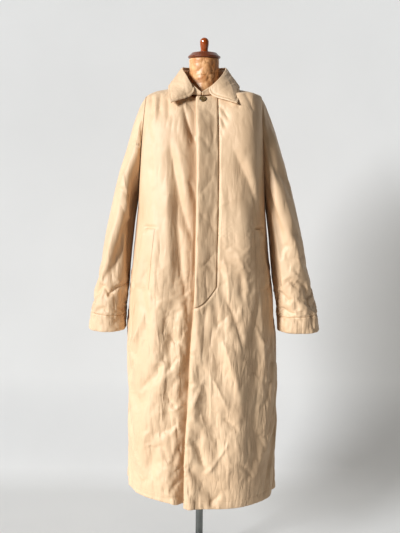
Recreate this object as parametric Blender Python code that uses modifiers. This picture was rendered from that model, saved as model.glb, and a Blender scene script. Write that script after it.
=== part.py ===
"""Long padded coat, buttoned on a dress form with a stand.

Metres, +Z up. The coat's front faces -Y and the wearer's left is at +X. The origin is on the
floor, under the middle of the stand's foot.
"""

import math

import bmesh
import bpy
import numpy as np

# ---------------------------------------------------------------- driving sizes, in metres

SEAM_GAP = 0.0006  # between two pieces that are sewn edge to edge
LAY_GAP = 0.0005  # between a piece and the panel that it lies on
WALL = 0.008  # padded cloth: outer cloth, wadding and lining
FLY_WALL = 0.004
WELT_WALL = 0.0035
COLLAR_WALL = 0.005

HEM_Z = 0.245
UNDERARM_Z = 1.165
CHEST_Z = 1.25  # above this the body rounds over to the shoulder seam
CHEST_H = 0.8  # the share of a panel's rows that lies below CHEST_Z
NECK_X = 0.074  # half the width of the neckline at the shoulder seams
FRONT_NECK_Z = 1.442
BACK_NECK_Z = 1.462
ARMHOLE_TURN = 32.0  # degrees that the armhole's edge lies in front of, or behind, the side

UNDERLAP = 0.055  # how far the right front runs on under the left front
UNDERLAP_EASE = 0.035  # the width over which it steps down under it
SKIRT_ROWS = 13
ARMHOLE_ROWS = 11
SIDE_COLUMNS = 10  # of a front panel, from the fly's seam to the side
EDGE_COLUMNS = 5  # of a front panel, across the fly or the underlap
BACK_COLUMNS = 21
HEM_RISE = 0.014  # how much higher the hem hangs on the wearer's right

# The body's horizontal sections: half-widths to the wearer's right and left, depths in front
# and behind, and how square the section is (2 is an ellipse).
BODY_COLUMNS = ("z", "right", "left", "front", "back", "square")
BODY_SECTIONS = (
    (0.245, 0.2180, 0.2290, 0.1600, 0.1700, 2.5),
    (0.400, 0.2205, 0.2330, 0.1590, 0.1680, 2.5),
    (0.550, 0.2230, 0.2340, 0.1560, 0.1640, 2.5),
    (0.700, 0.2240, 0.2270, 0.1520, 0.1590, 2.6),
    (0.850, 0.2190, 0.2120, 0.1470, 0.1530, 2.7),
    (1.000, 0.2030, 0.1960, 0.1410, 0.1460, 2.8),
    (1.165, 0.1880, 0.1800, 0.1330, 0.1390, 3.0),
    (1.250, 0.1870, 0.1780, 0.1290, 0.1360, 3.0),
    (1.350, 0.1840, 0.1740, 0.1290, 0.1360, 3.0),
    (1.430, 0.1800, 0.1790, 0.1290, 0.1360, 3.0),
)

SHOULDER_COLUMNS = ("x", "z")
SHOULDER_LINE = (
    (0.000, 1.478),
    (0.070, 1.471),
    (0.105, 1.464),
    (0.145, 1.455),
    (0.165, 1.445),
    (0.185, 1.428),
)

# The wearer's left front edge, which lies on top: x at each height.
FRONT_EDGE_COLUMNS = ("z", "x")
FRONT_EDGE = (
    (0.245, -0.047),
    (0.410, -0.046),
    (0.560, -0.038),
    (0.740, -0.031),
    (0.850, -0.023),
    (1.000, -0.020),
    (1.250, -0.019),
    (1.430, -0.023),
)

# Hanging folds of the body: where each starts and ends (x, z), its half-width and how far it
# stands out, or in where that is negative. Front and back are separate.
FOLD_COLUMNS = ("side", "x1", "z1", "x0", "z0", "width", "depth")
BODY_FOLDS = (
    ("front", -0.075, 1.330, -0.045, 0.860, 0.026, -0.010),
    ("front", -0.120, 1.250, -0.125, 0.500, 0.035, 0.008),
    ("front", -0.082, 1.050, -0.080, 0.450, 0.024, -0.011),
    ("front", 0.090, 1.300, 0.165, 1.000, 0.030, -0.009),
    ("front", 0.090, 0.900, 0.110, 0.320, 0.040, 0.009),
    ("front", 0.150, 0.900, 0.170, 0.350, 0.030, -0.008),
    ("back", -0.110, 1.250, -0.130, 0.300, 0.035, 0.010),
    ("back", -0.050, 1.150, -0.055, 0.300, 0.030, -0.010),
    ("back", 0.030, 1.200, 0.025, 0.300, 0.038, 0.010),
    ("back", 0.105, 1.100, 0.120, 0.300, 0.032, -0.010),
)

# A sleeve's rings, from the armhole to the wrist: the outer and inner points of each, its
# half-depth and how far forward it hangs. x counts outwards from the middle of the body.
SLEEVE_COLUMNS = ("outer_x", "outer_z", "inner_x", "inner_z", "depth", "forward")
SLEEVE_LEFT = (
    (0.168, 1.441, 0.182, 1.165, 0.078, 0.000),
    (0.193, 1.388, 0.188, 1.128, 0.079, 0.000),
    (0.221, 1.308, 0.1935, 1.088, 0.079, 0.001),
    (0.249, 1.222, 0.1985, 1.040, 0.078, 0.003),
    (0.277, 1.132, 0.2030, 0.990, 0.076, 0.006),
    (0.302, 1.035, 0.2090, 0.935, 0.073, 0.010),
    (0.322, 0.945, 0.2165, 0.880, 0.069, 0.015),
    (0.339, 0.853, 0.2245, 0.833, 0.064, 0.021),
    (0.349, 0.800, 0.2275, 0.795, 0.061, 0.024),
    (0.356, 0.757, 0.2295, 0.757, 0.059, 0.027),
)
SLEEVE_RIGHT = (
    (0.169, 1.441, 0.190, 1.165, 0.078, 0.000),
    (0.195, 1.390, 0.195, 1.128, 0.079, 0.000),
    (0.222, 1.312, 0.2005, 1.088, 0.079, 0.001),
    (0.246, 1.232, 0.2055, 1.040, 0.078, 0.003),
    (0.268, 1.145, 0.2105, 0.990, 0.076, 0.006),
    (0.289, 1.055, 0.2160, 0.935, 0.073, 0.010),
    (0.309, 0.965, 0.2215, 0.880, 0.069, 0.015),
    (0.328, 0.862, 0.2255, 0.833, 0.064, 0.021),
    (0.335, 0.800, 0.2275, 0.795, 0.061, 0.024),
    (0.339, 0.757, 0.2285, 0.757, 0.059, 0.027),
)
SLEEVE_SECTIONS = 15  # rings between the armhole and the wrist
CUFF_SHARE = 0.865  # where the cuff's seam is, as a share of the rings
CUFF_SECTIONS = 4
ARMHOLE_SETTLE = 0.35  # the share of a sleeve over which the armhole's outline becomes an oval

# The collar round the neck, from the throat (0 degrees) to the middle of the back (180):
# its seam to the body, its roll line and its outer edge.
COLLAR_COLUMNS = ("turn", "roll_x", "roll_y", "roll_z", "edge_x", "edge_y", "edge_z")
COLLAR_SECTIONS = (
    (0.0, 0.012, -0.0760, 1.4525, 0.093, -0.1180, 1.421),
    (22.0, 0.027, -0.072, 1.467, 0.098, -0.1000, 1.429),
    (50.0, 0.044, -0.056, 1.490, 0.102, -0.0620, 1.454),
    (90.0, 0.057, -0.008, 1.517, 0.103, -0.0050, 1.4735),
    (130.0, 0.048, 0.042, 1.524, 0.086, 0.0720, 1.4620),
    (160.0, 0.024, 0.058, 1.524, 0.040, 0.1040, 1.4460),
    (180.0, 0.000, 0.062, 1.524, 0.000, 0.1080, 1.4410),
)
COLLAR_OPEN = 9.0  # degrees from the throat at which the collar's seam begins
COLLAR_INSET = 0.0025  # how far inside the neckline the stand rises
COLLAR_COLUMNS_ROUND = 27
FALL_ROWS = 6
FRONT_DROP = 0.014  # how far the fall's front edges dip just beside the throat
STAND_ROWS = 3
FALL_CROWN = 0.0025  # how far the fall arches between its roll and its edge

FLY_WIDTH = 0.062
FLY_TOP_Z = 1.434
FLY_LINE_END_Z = 0.905  # where the fly's long seam ends and its slanting end begins
FLY_END_Z = 0.846
FLY_END_ROWS = 4  # in the slanting end

WELT_TOP_Z = 1.066
WELT_LENGTH = 0.165
WELT_SPREAD = 0.036  # from front to side, as seen from the front; the cloth bends back here
WELT_SLANT = 0.012  # how much nearer the side the welt's lower end is
WELT_RIGHT_X = -0.136
WELT_LEFT_X = 0.145
WELT_GAP = 0.0013
WELT_ROWS = 6
WELT_COLUMNS = 7

BUTTON_RADIUS = 0.010
BUTTON_THICKNESS = 0.0032
BUTTON_X = -0.003
BUTTON_Z = 1.4285
BUTTON_GAP = 0.0008  # the fly is faceted and the button is flat, so it stands a little clear
BUTTON_HOLE_RADIUS = 0.0009
BUTTON_HOLE_OFFSET = 0.0021

NECK_RADIUS = 0.0425
CAP_BOTTOM_Z = 1.5515
CAP_RADIUS = 0.0475
CAP_HEIGHT = 0.0200
FINIAL_RADIUS = 0.0130
FINIAL_HEIGHT = 0.040

FORM_COLUMNS = ("z", "width", "depth", "centre_y", "square")
FORM_SECTIONS = (
    (0.760, 0.080, 0.060, 0.004, 2.0),
    (0.766, 0.120, 0.090, 0.004, 2.1),
    (0.800, 0.142, 0.104, 0.004, 2.2),
    (0.900, 0.148, 0.108, 0.004, 2.2),
    (1.000, 0.135, 0.097, 0.002, 2.2),
    (1.080, 0.124, 0.090, 0.002, 2.2),
    (1.180, 0.140, 0.100, 0.000, 2.3),
    (1.280, 0.152, 0.102, 0.000, 2.4),
    (1.350, 0.153, 0.090, 0.002, 2.4),
    (1.395, 0.147, 0.068, 0.004, 2.3),
    (1.415, 0.128, 0.054, 0.004, 2.2),
    (1.428, 0.092, 0.048, 0.002, 2.1),
    (1.438, 0.062, 0.045, 0.000, 2.0),
    (1.456, 0.047, 0.0435, 0.000, 2.0),
    (1.480, 0.0425, 0.0425, 0.000, 2.0),
    (1.5510, 0.0425, 0.0425, 0.000, 2.0),
)
FORM_SIDES = 28

POLE_RADIUS = 0.0115
FOOT_RADIUS = 0.140
FOOT_THICKNESS = 0.009
HUB_RADIUS = 0.024
HUB_Z = 0.052
TURN_STEPS = 32

CLOTH_COLOUR = (0.72, 0.54, 0.33, 1.0)
COVER_COLOUR = (0.56, 0.34, 0.18, 1.0)
WOOD_COLOUR = (0.37, 0.13, 0.045, 1.0)
HORN_COLOUR = (0.10, 0.055, 0.025, 1.0)
STEEL_COLOUR = (0.30, 0.31, 0.32, 1.0)


# ---------------------------------------------------------------- tables and small maths


def column(table, names, name):
    return np.array([row[names.index(name)] for row in table], float)


def smooth(table, names, key, name, at):
    """A column of a table, read smoothly at any value of its key column (cubic Hermite)."""
    xs, ys = column(table, names, key), column(table, names, name)
    slopes = np.gradient(ys, xs)
    at = np.clip(np.asarray(at, float), xs[0], xs[-1])
    i = np.clip(np.searchsorted(xs, at) - 1, 0, len(xs) - 2)
    span = xs[i + 1] - xs[i]
    t = (at - xs[i]) / span
    return (
        (2 * t**3 - 3 * t**2 + 1) * ys[i]
        + (t**3 - 2 * t**2 + t) * span * slopes[i]
        + (3 * t**2 - 2 * t**3) * ys[i + 1]
        + (t**3 - t**2) * span * slopes[i + 1]
    )


def ease(t):
    t = np.clip(t, 0.0, 1.0)
    return t * t * (3 - 2 * t)


def unit(vectors):
    return vectors / np.linalg.norm(vectors, axis=-1, keepdims=True)


# ---------------------------------------------------------------- the body's surface


def shoulder_z(x):
    return smooth(SHOULDER_LINE, SHOULDER_COLUMNS, "x", "z", np.abs(x))


def h_of_z(z):
    """The row coordinate of a height at or below the chest."""
    return CHEST_H * (z - HEM_Z) / (CHEST_Z - HEM_Z)


UNDERARM_H = h_of_z(UNDERARM_Z)


def section(name, z):
    return smooth(BODY_SECTIONS, BODY_COLUMNS, "z", name, z)


def turn_of_x(x, h):
    """The angle round the body, from the middle of the front, at which the front has this x."""
    z = nominal_z(h)
    half = np.where(x < 0, section("right", z), section("left", z))
    square = section("square", z)
    across = np.clip(np.abs(x) / half, 0.0, 0.9999)
    forward = (1 - across**square) ** (1 / square)
    return np.sign(x) * np.arctan2(across, forward)


def nominal_z(h):
    below = HEM_Z + (CHEST_Z - HEM_Z) * h / CHEST_H
    rise = np.clip((h - CHEST_H) / (1 - CHEST_H), 0.0, 1.0)
    return np.where(h < CHEST_H, below, CHEST_Z + (1.43 - CHEST_Z) * np.sin(rise * math.pi / 2))


def body_plain(turn, h):
    """The coat's outer surface without folds. turn runs round it from the middle of the front
    towards the wearer's left, and h from 0 at the hem to 1 at the shoulder seam."""
    turn, h = np.broadcast_arrays(np.asarray(turn, float), np.asarray(h, float))
    z = nominal_z(h)
    across, forward = np.sin(turn), np.cos(turn)
    half = np.where(across < 0, section("right", z), section("left", z))
    depth = np.where(forward > 0, section("front", z), section("back", z))
    square = section("square", z)
    size = (np.abs(across) ** square + np.abs(forward) ** square) ** (1 / square)
    x = half * across / size
    y = -depth * forward / size
    rise = np.clip((h - CHEST_H) / (1 - CHEST_H), 0.0, 1.0) * math.pi / 2
    power = 2 / (2.5 - 0.3 * forward)
    y = y * np.where(h > CHEST_H, np.clip(np.cos(rise), 0, 1) ** power, 1.0)
    top = CHEST_Z + (shoulder_z(x) - CHEST_Z) * np.clip(np.sin(rise), 0, 1) ** power
    z = z + HEM_RISE * ease((-0.03 - x) / 0.12) * (1 - ease(h / 0.2))
    return np.stack([x, y, np.where(h > CHEST_H, top, z)], axis=-1)


def normal_of(surface, turn, h, step=1e-3):
    """The outward normal of a surface of turn and h, by differences."""
    h = np.clip(h, step, 1 - step)
    across = surface(turn + step, h) - surface(turn - step, h)
    up = surface(turn, h + step) - surface(turn, h - step)
    return unit(np.cross(across, up))


def fold_height(points, forward):
    """How far the hanging folds push the surface out at these points."""
    x, z = points[..., 0], points[..., 2]
    height = np.zeros(x.shape)
    for side, x1, z1, x0, z0, width, depth in BODY_FOLDS:
        along = (z1 - z) / (z1 - z0)
        away = x - (x1 + (x0 - x1) * along)
        fade = ease(along / 0.3) * ease((1.35 - along) / 0.5)
        facing = ease((forward if side == "front" else -forward) * 2.5)
        height += depth * np.exp(-((away / width) ** 2)) * fade * facing
    return height


def body(turn, h):
    turn, h = np.broadcast_arrays(np.asarray(turn, float), np.asarray(h, float))
    points = body_plain(turn, h)
    height = fold_height(points, np.cos(turn))
    return points + normal_of(body_plain, turn, h) * height[..., None]


def armhole_turn(h):
    """The angle from the middle of the front, or of the back, to the armhole's edge."""
    k = np.clip((h - UNDERARM_H) / (1 - UNDERARM_H), 0.0, 1.0)
    return math.pi / 2 - math.radians(ARMHOLE_TURN) * np.sqrt(1 - (1 - k) ** 3)


def neck_h(turn, neck_z):
    """How high a panel reaches at this angle: 1 at the shoulder seam, less in the neckline."""
    x = np.abs(body_plain(turn, 0.93)[..., 0])
    inside = np.clip(x / NECK_X, 0.0, 1.0)
    side_z = shoulder_z(NECK_X)
    z = neck_z + (side_z - neck_z) * (1 - np.sqrt(1 - inside**2))
    power = 2 / (2.5 - 0.3 * np.cos(turn))
    share = np.clip((z - CHEST_Z) / (shoulder_z(x) - CHEST_Z), 0.0, 1.0) ** (1 / power)
    return CHEST_H + (1 - CHEST_H) * np.where(x < NECK_X, np.arcsin(share) / (math.pi / 2), 1.0)


# ---------------------------------------------------------------- walls of cloth


def wall_faces(rows, columns, closed):
    """Quads of a wall whose outer points come first and whose inner points follow."""
    r, c = np.meshgrid(np.arange(rows - 1), np.arange(columns if closed else columns - 1),
                       indexing="ij")
    a, b = r * columns + c, r * columns + (c + 1) % columns
    outer = np.stack([a, b, b + columns, a + columns], axis=-1).reshape(-1, 4)
    inner = outer[:, ::-1] + rows * columns
    loops = [np.arange(columns), (rows - 1) * columns + np.arange(columns)]
    rims = [rim(loop, rows * columns, closed) for loop in (loops[0][::-1], loops[1])]
    if not closed:
        sides = [np.arange(rows) * columns, np.arange(rows) * columns + columns - 1]
        rims += [rim(side, rows * columns, False) for side in (sides[0], sides[1][::-1])]
    return np.concatenate([outer, inner, *rims])


def rim(loop, inner_start, closed):
    """The quads that join a row of outer points to the inner points behind them."""
    after = np.roll(loop, -1)
    if not closed:
        loop, after = loop[:-1], after[:-1]
    return np.stack([loop, after, after + inner_start, loop + inner_start], axis=-1)


def mesh_object(name, points, faces, material, bevel_angle=None):
    mesh = bpy.data.meshes.new(name)
    mesh.from_pydata([tuple(p) for p in points], [], [tuple(int(i) for i in f) for f in faces])
    mesh.materials.append(material)
    mesh.update()
    obj = bpy.data.objects.new(name, mesh)
    PARTS.objects.link(obj)
    mesh.shade_smooth()
    if bevel_angle is not None:
        mesh.set_sharp_from_angle(angle=bevel_angle)
    return obj


def cloth_wall(name, outer, inward, thickness, material, closed=False):
    """A padded wall: a grid of outer points, and the same grid moved in by the thickness."""
    rows, columns = outer.shape[:2]
    inner = outer - inward * np.asarray(thickness)[..., None]
    points = np.concatenate([outer.reshape(-1, 3), inner.reshape(-1, 3)])
    faces = wall_faces(rows, columns, closed)
    return mesh_object(name, points, faces, material, math.radians(50))


# ---------------------------------------------------------------- fronts, back, fly and welts


def row_heights():
    """The rows of every body panel: even in the skirt, and closer near the underarm."""
    skirt = np.linspace(0.0, UNDERARM_H, SKIRT_ROWS)
    armhole = UNDERARM_H + (1 - UNDERARM_H) * (np.arange(1, ARMHOLE_ROWS + 1) / ARMHOLE_ROWS) ** 1.4
    return np.concatenate([skirt, armhole])


def gap_turn(distance):
    """A distance along the cloth as an angle round the body."""
    return distance / 0.19


def edge_turn(h, inset=0.0):
    x = smooth(FRONT_EDGE, FRONT_EDGE_COLUMNS, "z", "x", nominal_z(h)) + inset
    return turn_of_x(x, h)


def side_turn(h):
    return np.where(h <= UNDERARM_H, math.pi / 2, armhole_turn(h)) - gap_turn(SEAM_GAP)


def between(first, last, count):
    """count columns that run evenly from one column of angles to another."""
    return first + (last - first) * np.linspace(0.0, 1.0, count)[None, :]


def panel(turn, h, neck_z):
    """A panel's outer points and outward normals. Its upper rows are drawn in below the
    neckline, and its last row stops at the shoulder seam."""
    bend_h = 0.86
    top = neck_h(turn[-1:], neck_z)
    h = np.where(h > bend_h, bend_h + (top - bend_h) * (h - bend_h) / (1 - bend_h), h)
    points, normals = body(turn, h), normal_of(body_plain, turn, h)
    seam = h > 1 - 1e-9
    facing = -np.sign(np.cos(turn))
    points[..., 1] = np.where(seam, facing * SEAM_GAP / 2, points[..., 1])
    normals[..., 1] = np.where(seam, 0.0, normals[..., 1])
    return points, unit(normals), h


def left_front():
    h = row_heights()[:, None]
    fly = edge_turn(h, FLY_WIDTH)
    across = [between(edge_turn(h), fly, EDGE_COLUMNS), between(fly, side_turn(h), SIDE_COLUMNS)]
    turn = np.concatenate([across[0], across[1][:, 1:]], axis=1)
    return panel(turn, h, FRONT_NECK_Z)


def right_front():
    h = row_heights()[:, None]
    step, under = edge_turn(h, -UNDERLAP_EASE), edge_turn(h, UNDERLAP)
    across = [between(-side_turn(h), step, SIDE_COLUMNS), between(step, under, EDGE_COLUMNS + 2)]
    turn = np.concatenate([across[0], across[1][:, 1:]], axis=1)
    points, normals, h = panel(turn, h, FRONT_NECK_Z)
    edge = smooth(FRONT_EDGE, FRONT_EDGE_COLUMNS, "z", "x", nominal_z(h))
    under = ease((points[..., 0] - edge) / UNDERLAP_EASE + 1.0) * (WALL + 0.0022)
    return points - normals * under[..., None], normals, h


def back():
    h = row_heights()[:, None]
    turn = between(math.pi - side_turn(h), math.pi + side_turn(h), BACK_COLUMNS)
    return panel(turn, h, BACK_NECK_Z)


def make_panels(cloth):
    for name, make in (("front_left", left_front), ("front_right", right_front), ("back", back)):
        points, normals, _ = make()
        cloth_wall(name, points, normals, WALL, cloth)


def laid_piece(name, sheet, rows, columns, gap, thickness, material):
    """A piece on a panel, made from the panel's own points and normals, moved out. rows and
    columns place it on the panel's grid, and may fall between the grid's lines."""
    points, normals, _ = sheet
    r0 = np.clip(np.floor(rows).astype(int), 0, points.shape[0] - 2)
    c0 = np.clip(np.floor(columns).astype(int), 0, points.shape[1] - 2)
    v, u = (rows - r0)[..., None], (columns - c0)[..., None]

    def read(grid):
        low = grid[r0, c0] * (1 - u) + grid[r0, c0 + 1] * u
        high = grid[r0 + 1, c0] * (1 - u) + grid[r0 + 1, c0 + 1] * u
        return low * (1 - v) + high * v

    normal = unit(read(normals))
    cloth_wall(name, read(points) + normal * (gap + thickness), normal, thickness, material)


def row_of_z(sheet, z, near_column):
    """The fractional row at which a column of the panel's grid passes a height."""
    heights = sheet[0][:, near_column, 2]
    return np.interp(z, heights, np.arange(len(heights)))


def make_fly(cloth):
    sheet = left_front()
    columns = np.arange(EDGE_COLUMNS)
    slant = (columns / (EDGE_COLUMNS - 1)) ** 1.8
    end = row_of_z(sheet, FLY_END_Z + (FLY_LINE_END_Z - FLY_END_Z) * slant, 0)
    join = math.ceil(row_of_z(sheet, FLY_LINE_END_Z, 0) + 0.2)
    top = row_of_z(sheet, FLY_TOP_Z, 0)
    low = end + (join - end) * np.linspace(0.0, 1.0, FLY_END_ROWS)[:, None]
    high = np.append(np.arange(join + 1, math.floor(top) + 1), top)[:, None] + 0 * end
    rows = np.concatenate([low, high])
    columns = np.broadcast_to(columns, rows.shape)
    laid_piece("fly", sheet, rows, columns, LAY_GAP, FLY_WALL, cloth)


def make_welts(cloth):
    share = np.linspace(0.0, 1.0, WELT_COLUMNS)[None, :]
    down = 1 - np.linspace(0.0, 1.0, WELT_ROWS)[:, None]
    for side, sheet, front_x, outwards in (("right", right_front(), WELT_RIGHT_X, -1),
                                           ("left", left_front(), WELT_LEFT_X, 1)):
        row = row_of_z(sheet, WELT_TOP_Z - WELT_LENGTH * down[:, 0], 0)
        across = share if outwards > 0 else share[:, ::-1]
        x = front_x + outwards * (WELT_SPREAD * across + WELT_SLANT * down)
        mid = sheet[0][int(row[WELT_ROWS // 2])]
        column = np.interp(x, mid[:, 0], np.arange(len(mid)))
        rows = np.broadcast_to(row[:, None], column.shape)
        laid_piece("pocket_welt_" + side, sheet, rows, column, WELT_GAP, WELT_WALL, cloth)


def h_at(z, x):
    """The row coordinate at which the front has this height, above or below the chest."""
    share = np.clip((z - CHEST_Z) / (shoulder_z(x) - CHEST_Z), 0.0, 1.0) ** 1.1
    above = CHEST_H + (1 - CHEST_H) * np.arcsin(share) / (math.pi / 2)
    return np.where(z > CHEST_Z, above, h_of_z(z))


# ---------------------------------------------------------------- sleeves and cuffs


def armhole_loop(outwards):
    """The armhole from the shoulder down the front, under the arm and up the back, and the
    body's normals along it."""
    h = row_heights()[SKIRT_ROWS - 1:]
    front = armhole_turn(h) * outwards
    back_turn = (math.pi - armhole_turn(h)) * outwards
    turn = np.concatenate([front[::-1], back_turn[1:-1]])
    heights = np.concatenate([h[::-1], h[1:-1]])
    points, normals = body(turn, heights), normal_of(body_plain, turn, heights)
    points[0, 1] = 0.0
    normals[0, 1] = 0.0
    return points, unit(normals)


def sleeve_rings(table, outwards, shares):
    """Rings of points down a sleeve, and the outward normals of its wall."""
    keys = np.linspace(0.0, 1.0, len(table))
    rows = [(k, *row) for k, row in zip(keys, table)]
    names = ("key", *SLEEVE_COLUMNS)

    def read(name, at):
        return smooth(rows, names, "key", name, at)

    def frame(at):
        outer = np.stack([read("outer_x", at), read("outer_z", at)], axis=-1)
        inner = np.stack([read("inner_x", at), read("inner_z", at)], axis=-1)
        centre, span = (outer + inner) / 2, outer - inner
        half = np.linalg.norm(span, axis=-1) / 2
        return centre, unit(span), half

    loop, body_normals = armhole_loop(outwards)
    centre, across, half = frame(np.array([0.0]))
    flat = np.stack([loop[:, 0] * outwards, loop[:, 2]], axis=-1) - centre[0]
    up = flat @ across[0] / half[0]
    ahead = -loop[:, 1] / read("depth", 0.0)
    beyond = flat @ np.array([across[0, 1], -across[0, 0]])
    angle = np.arctan2(ahead, up)

    at = np.asarray(shares, float)
    centre, across, half = frame(at)
    settle = ease(at / ARMHOLE_SETTLE)[:, None]
    c = up * (1 - settle) + np.cos(angle) * settle
    d = ahead * (1 - settle) + np.sin(angle) * settle
    e = beyond * (1 - settle) + 0.0012
    beyond_axis = np.stack([across[:, 1], -across[:, 0]], axis=-1)
    xz = (centre[:, None] + across[:, None] * (half[:, None] * c)[..., None]
          + beyond_axis[:, None] * e[..., None])
    y = -read("forward", at)[:, None] - read("depth", at)[:, None] * d
    points = np.stack([xz[..., 0] * outwards, y, xz[..., 1]], axis=-1)

    round_it = np.roll(points, -1, axis=1) - np.roll(points, 1, axis=1)
    down = np.gradient(points, axis=0)
    normals = unit(np.cross(round_it, down)) * outwards
    start = (1 - ease(at / 0.12))[:, None] * np.clip(np.cos(angle), 0.0, 1.0) ** 0.7
    normals = unit(normals * (1 - start[..., None]) + body_normals[None] * start[..., None])
    return points, normals


def make_sleeves(cloth):
    for side, table, outwards in (("left", SLEEVE_LEFT, 1.0), ("right", SLEEVE_RIGHT, -1.0)):
        upper = CUFF_SHARE * np.linspace(0.0, 1.0, SLEEVE_SECTIONS) ** 1.15
        cuff = np.linspace(CUFF_SHARE + 0.0015, 1.0, CUFF_SECTIONS)
        points, normals = sleeve_rings(table, outwards, np.concatenate([upper, cuff]))
        if outwards > 0:  # the rings run the same way round on both sides, seen from outside
            points, normals = points[:, ::-1], normals[:, ::-1]
        points, normals = points[::-1], normals[::-1]
        cloth_wall("cuff_" + side, points[:CUFF_SECTIONS], normals[:CUFF_SECTIONS], WALL, cloth,
                   closed=True)
        cloth_wall("sleeve_" + side, points[CUFF_SECTIONS:], normals[CUFF_SECTIONS:], WALL, cloth,
                   closed=True)


# ---------------------------------------------------------------- collar


def neckline(angle):
    """The neckline's points, by angle round the neck from the throat (0) to the back (180)."""
    across = turn_of_x(NECK_X * np.sin(np.radians(angle)), 0.93)
    turn = np.where(angle <= 90.0, across, math.pi - across)
    h = np.where(angle <= 90.0, neck_h(turn, FRONT_NECK_Z), neck_h(turn, BACK_NECK_Z))
    return body(turn, np.minimum(h, 0.9999))


def collar_lines(columns):
    """The seam, the roll line and the outer edge, all the way round from the right throat."""
    turn = np.linspace(-180.0, 180.0, columns)
    from_throat = 180.0 - np.abs(turn)

    def line(name):
        x = smooth(COLLAR_SECTIONS, COLLAR_COLUMNS, "turn", name + "_x", from_throat)
        y = smooth(COLLAR_SECTIONS, COLLAR_COLUMNS, "turn", name + "_y", from_throat)
        z = smooth(COLLAR_SECTIONS, COLLAR_COLUMNS, "turn", name + "_z", from_throat)
        return np.stack([np.sign(turn) * x, y, z], axis=-1)

    seam = neckline(COLLAR_OPEN + (180.0 - COLLAR_OPEN) * from_throat / 180.0)
    seam[:, 0] *= np.sign(turn)
    inwards = -seam * np.array([1.0, 1.0, 0.0])
    seam = seam + unit(inwards) * (COLLAR_WALL / 2 + COLLAR_INSET) + np.array([0.0, 0.0, 2 * SEAM_GAP])
    return seam, line("roll"), line("edge")


def surface_normals(points):
    across, up = np.gradient(points, axis=1), np.gradient(points, axis=0)
    return unit(np.cross(across, up))


def make_collar(cloth):
    seam, roll, edge = collar_lines(COLLAR_COLUMNS_ROUND)
    outwards = roll - np.array([0.0, -0.01, 0.0])
    outwards[:, 2] = 0.0
    outwards = unit(outwards)

    share = np.linspace(0.0, 1.0, STAND_ROWS)[:, None, None]
    stand = seam + (roll - seam) * share
    normals = np.broadcast_to(outwards, stand.shape)
    # Round the back from the right, outwards is on the left hand of the rows.
    cloth_wall("collar_stand", (stand + normals * 0.5 * COLLAR_WALL)[:, ::-1], normals[:, ::-1],
               COLLAR_WALL - 0.001, cloth)

    share = np.linspace(0.0, 1.0, FALL_ROWS)[:, None, None] ** 0.8
    lift = np.array([0.0, 0.0, 0.5 * COLLAR_WALL + 0.006])
    fall = roll + lift + (edge - roll - lift) * share
    fall = fall + outwards * (0.5 * COLLAR_WALL + 0.004) * (1 - share)
    turn = np.abs(np.linspace(-180.0, 180.0, COLLAR_COLUMNS_ROUND))
    near_throat = ease((turn - 150.0) / 30.0)[None, :]
    fall[..., 2] -= FRONT_DROP * near_throat * np.sin(math.pi * share[..., 0] ** 0.4)
    bulge = unit(outwards + np.array([0.0, 0.0, 0.8]))
    fall = fall + bulge * FALL_CROWN * np.sin(math.pi * share) ** 0.7
    fall = fall[::-1, ::-1]
    cloth_wall("collar_fall", fall, surface_normals(fall), COLLAR_WALL, cloth)


# ---------------------------------------------------------------- turned and plain pieces


def turned(name, profile, material, steps=TURN_STEPS, location=(0.0, 0.0, 0.0)):
    """A profile of (radius, height) points, from the top down, turned about a vertical axis."""
    mesh = bpy.data.meshes.new(name)
    points = [(radius, 0.0, height) for radius, height in profile]
    mesh.from_pydata(points, [(i, i + 1) for i in range(len(points) - 1)], [])
    mesh.materials.append(material)
    obj = bpy.data.objects.new(name, mesh)
    obj.location = location
    PARTS.objects.link(obj)
    screw = obj.modifiers.new("turn", "SCREW")
    screw.steps = screw.render_steps = steps
    screw.use_merge_vertices = True
    screw.merge_threshold = 0.00005
    screw.use_smooth_shade = True
    return obj


def arc(centre, radius, start, end, count):
    """Points of an arc in the profile's plane; angles in degrees from the outward direction."""
    angles = np.radians(np.linspace(start, end, count))
    return [(centre[0] + radius * math.cos(a), centre[1] + radius * math.sin(a)) for a in angles]


def make_button(horn, cutters):
    h = h_at(np.array(BUTTON_Z), np.array(BUTTON_X))
    turn = turn_of_x(np.array(BUTTON_X), h)
    normal = normal_of(body_plain, turn, h)
    seat = body(turn, h) + normal * (LAY_GAP + FLY_WALL)
    half = BUTTON_THICKNESS / 2
    rim_round = half * 0.9
    profile = [(0.0, half * 0.55), (BUTTON_RADIUS * 0.55, half * 0.55),
               (BUTTON_RADIUS * 0.72, half)]
    profile += arc((BUTTON_RADIUS - rim_round, 0.0), rim_round, 80, -80, 5)
    profile += [(0.0, -half)]
    button = turned("throat_button", profile, horn, steps=24)
    drill = bpy.data.meshes.new("thread_holes")
    shape = bmesh.new()
    for dx, dy in ((1, 1), (1, -1), (-1, 1), (-1, -1)):
        made = bmesh.ops.create_cone(shape, cap_ends=True, segments=8, radius1=BUTTON_HOLE_RADIUS,
                                     radius2=BUTTON_HOLE_RADIUS, depth=4 * BUTTON_THICKNESS)
        bmesh.ops.translate(shape, verts=made["verts"],
                            vec=(dx * BUTTON_HOLE_OFFSET, dy * BUTTON_HOLE_OFFSET, 0.0))
    shape.to_mesh(drill)
    shape.free()
    holes = bpy.data.objects.new("thread_holes", drill)
    holes.hide_render = True
    holes.display_type = "WIRE"
    cutters.objects.link(holes)
    holes.parent = button
    cut = button.modifiers.new("holes", "BOOLEAN")
    cut.object = holes
    cut.operation = "DIFFERENCE"
    place = seat + normal * (half + BUTTON_GAP)
    button.location = tuple(place)
    direction = np.array(normal)
    button.rotation_euler = (math.acos(float(direction[2])), 0.0,
                             math.atan2(float(direction[1]), float(direction[0])) + math.pi / 2)


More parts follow.
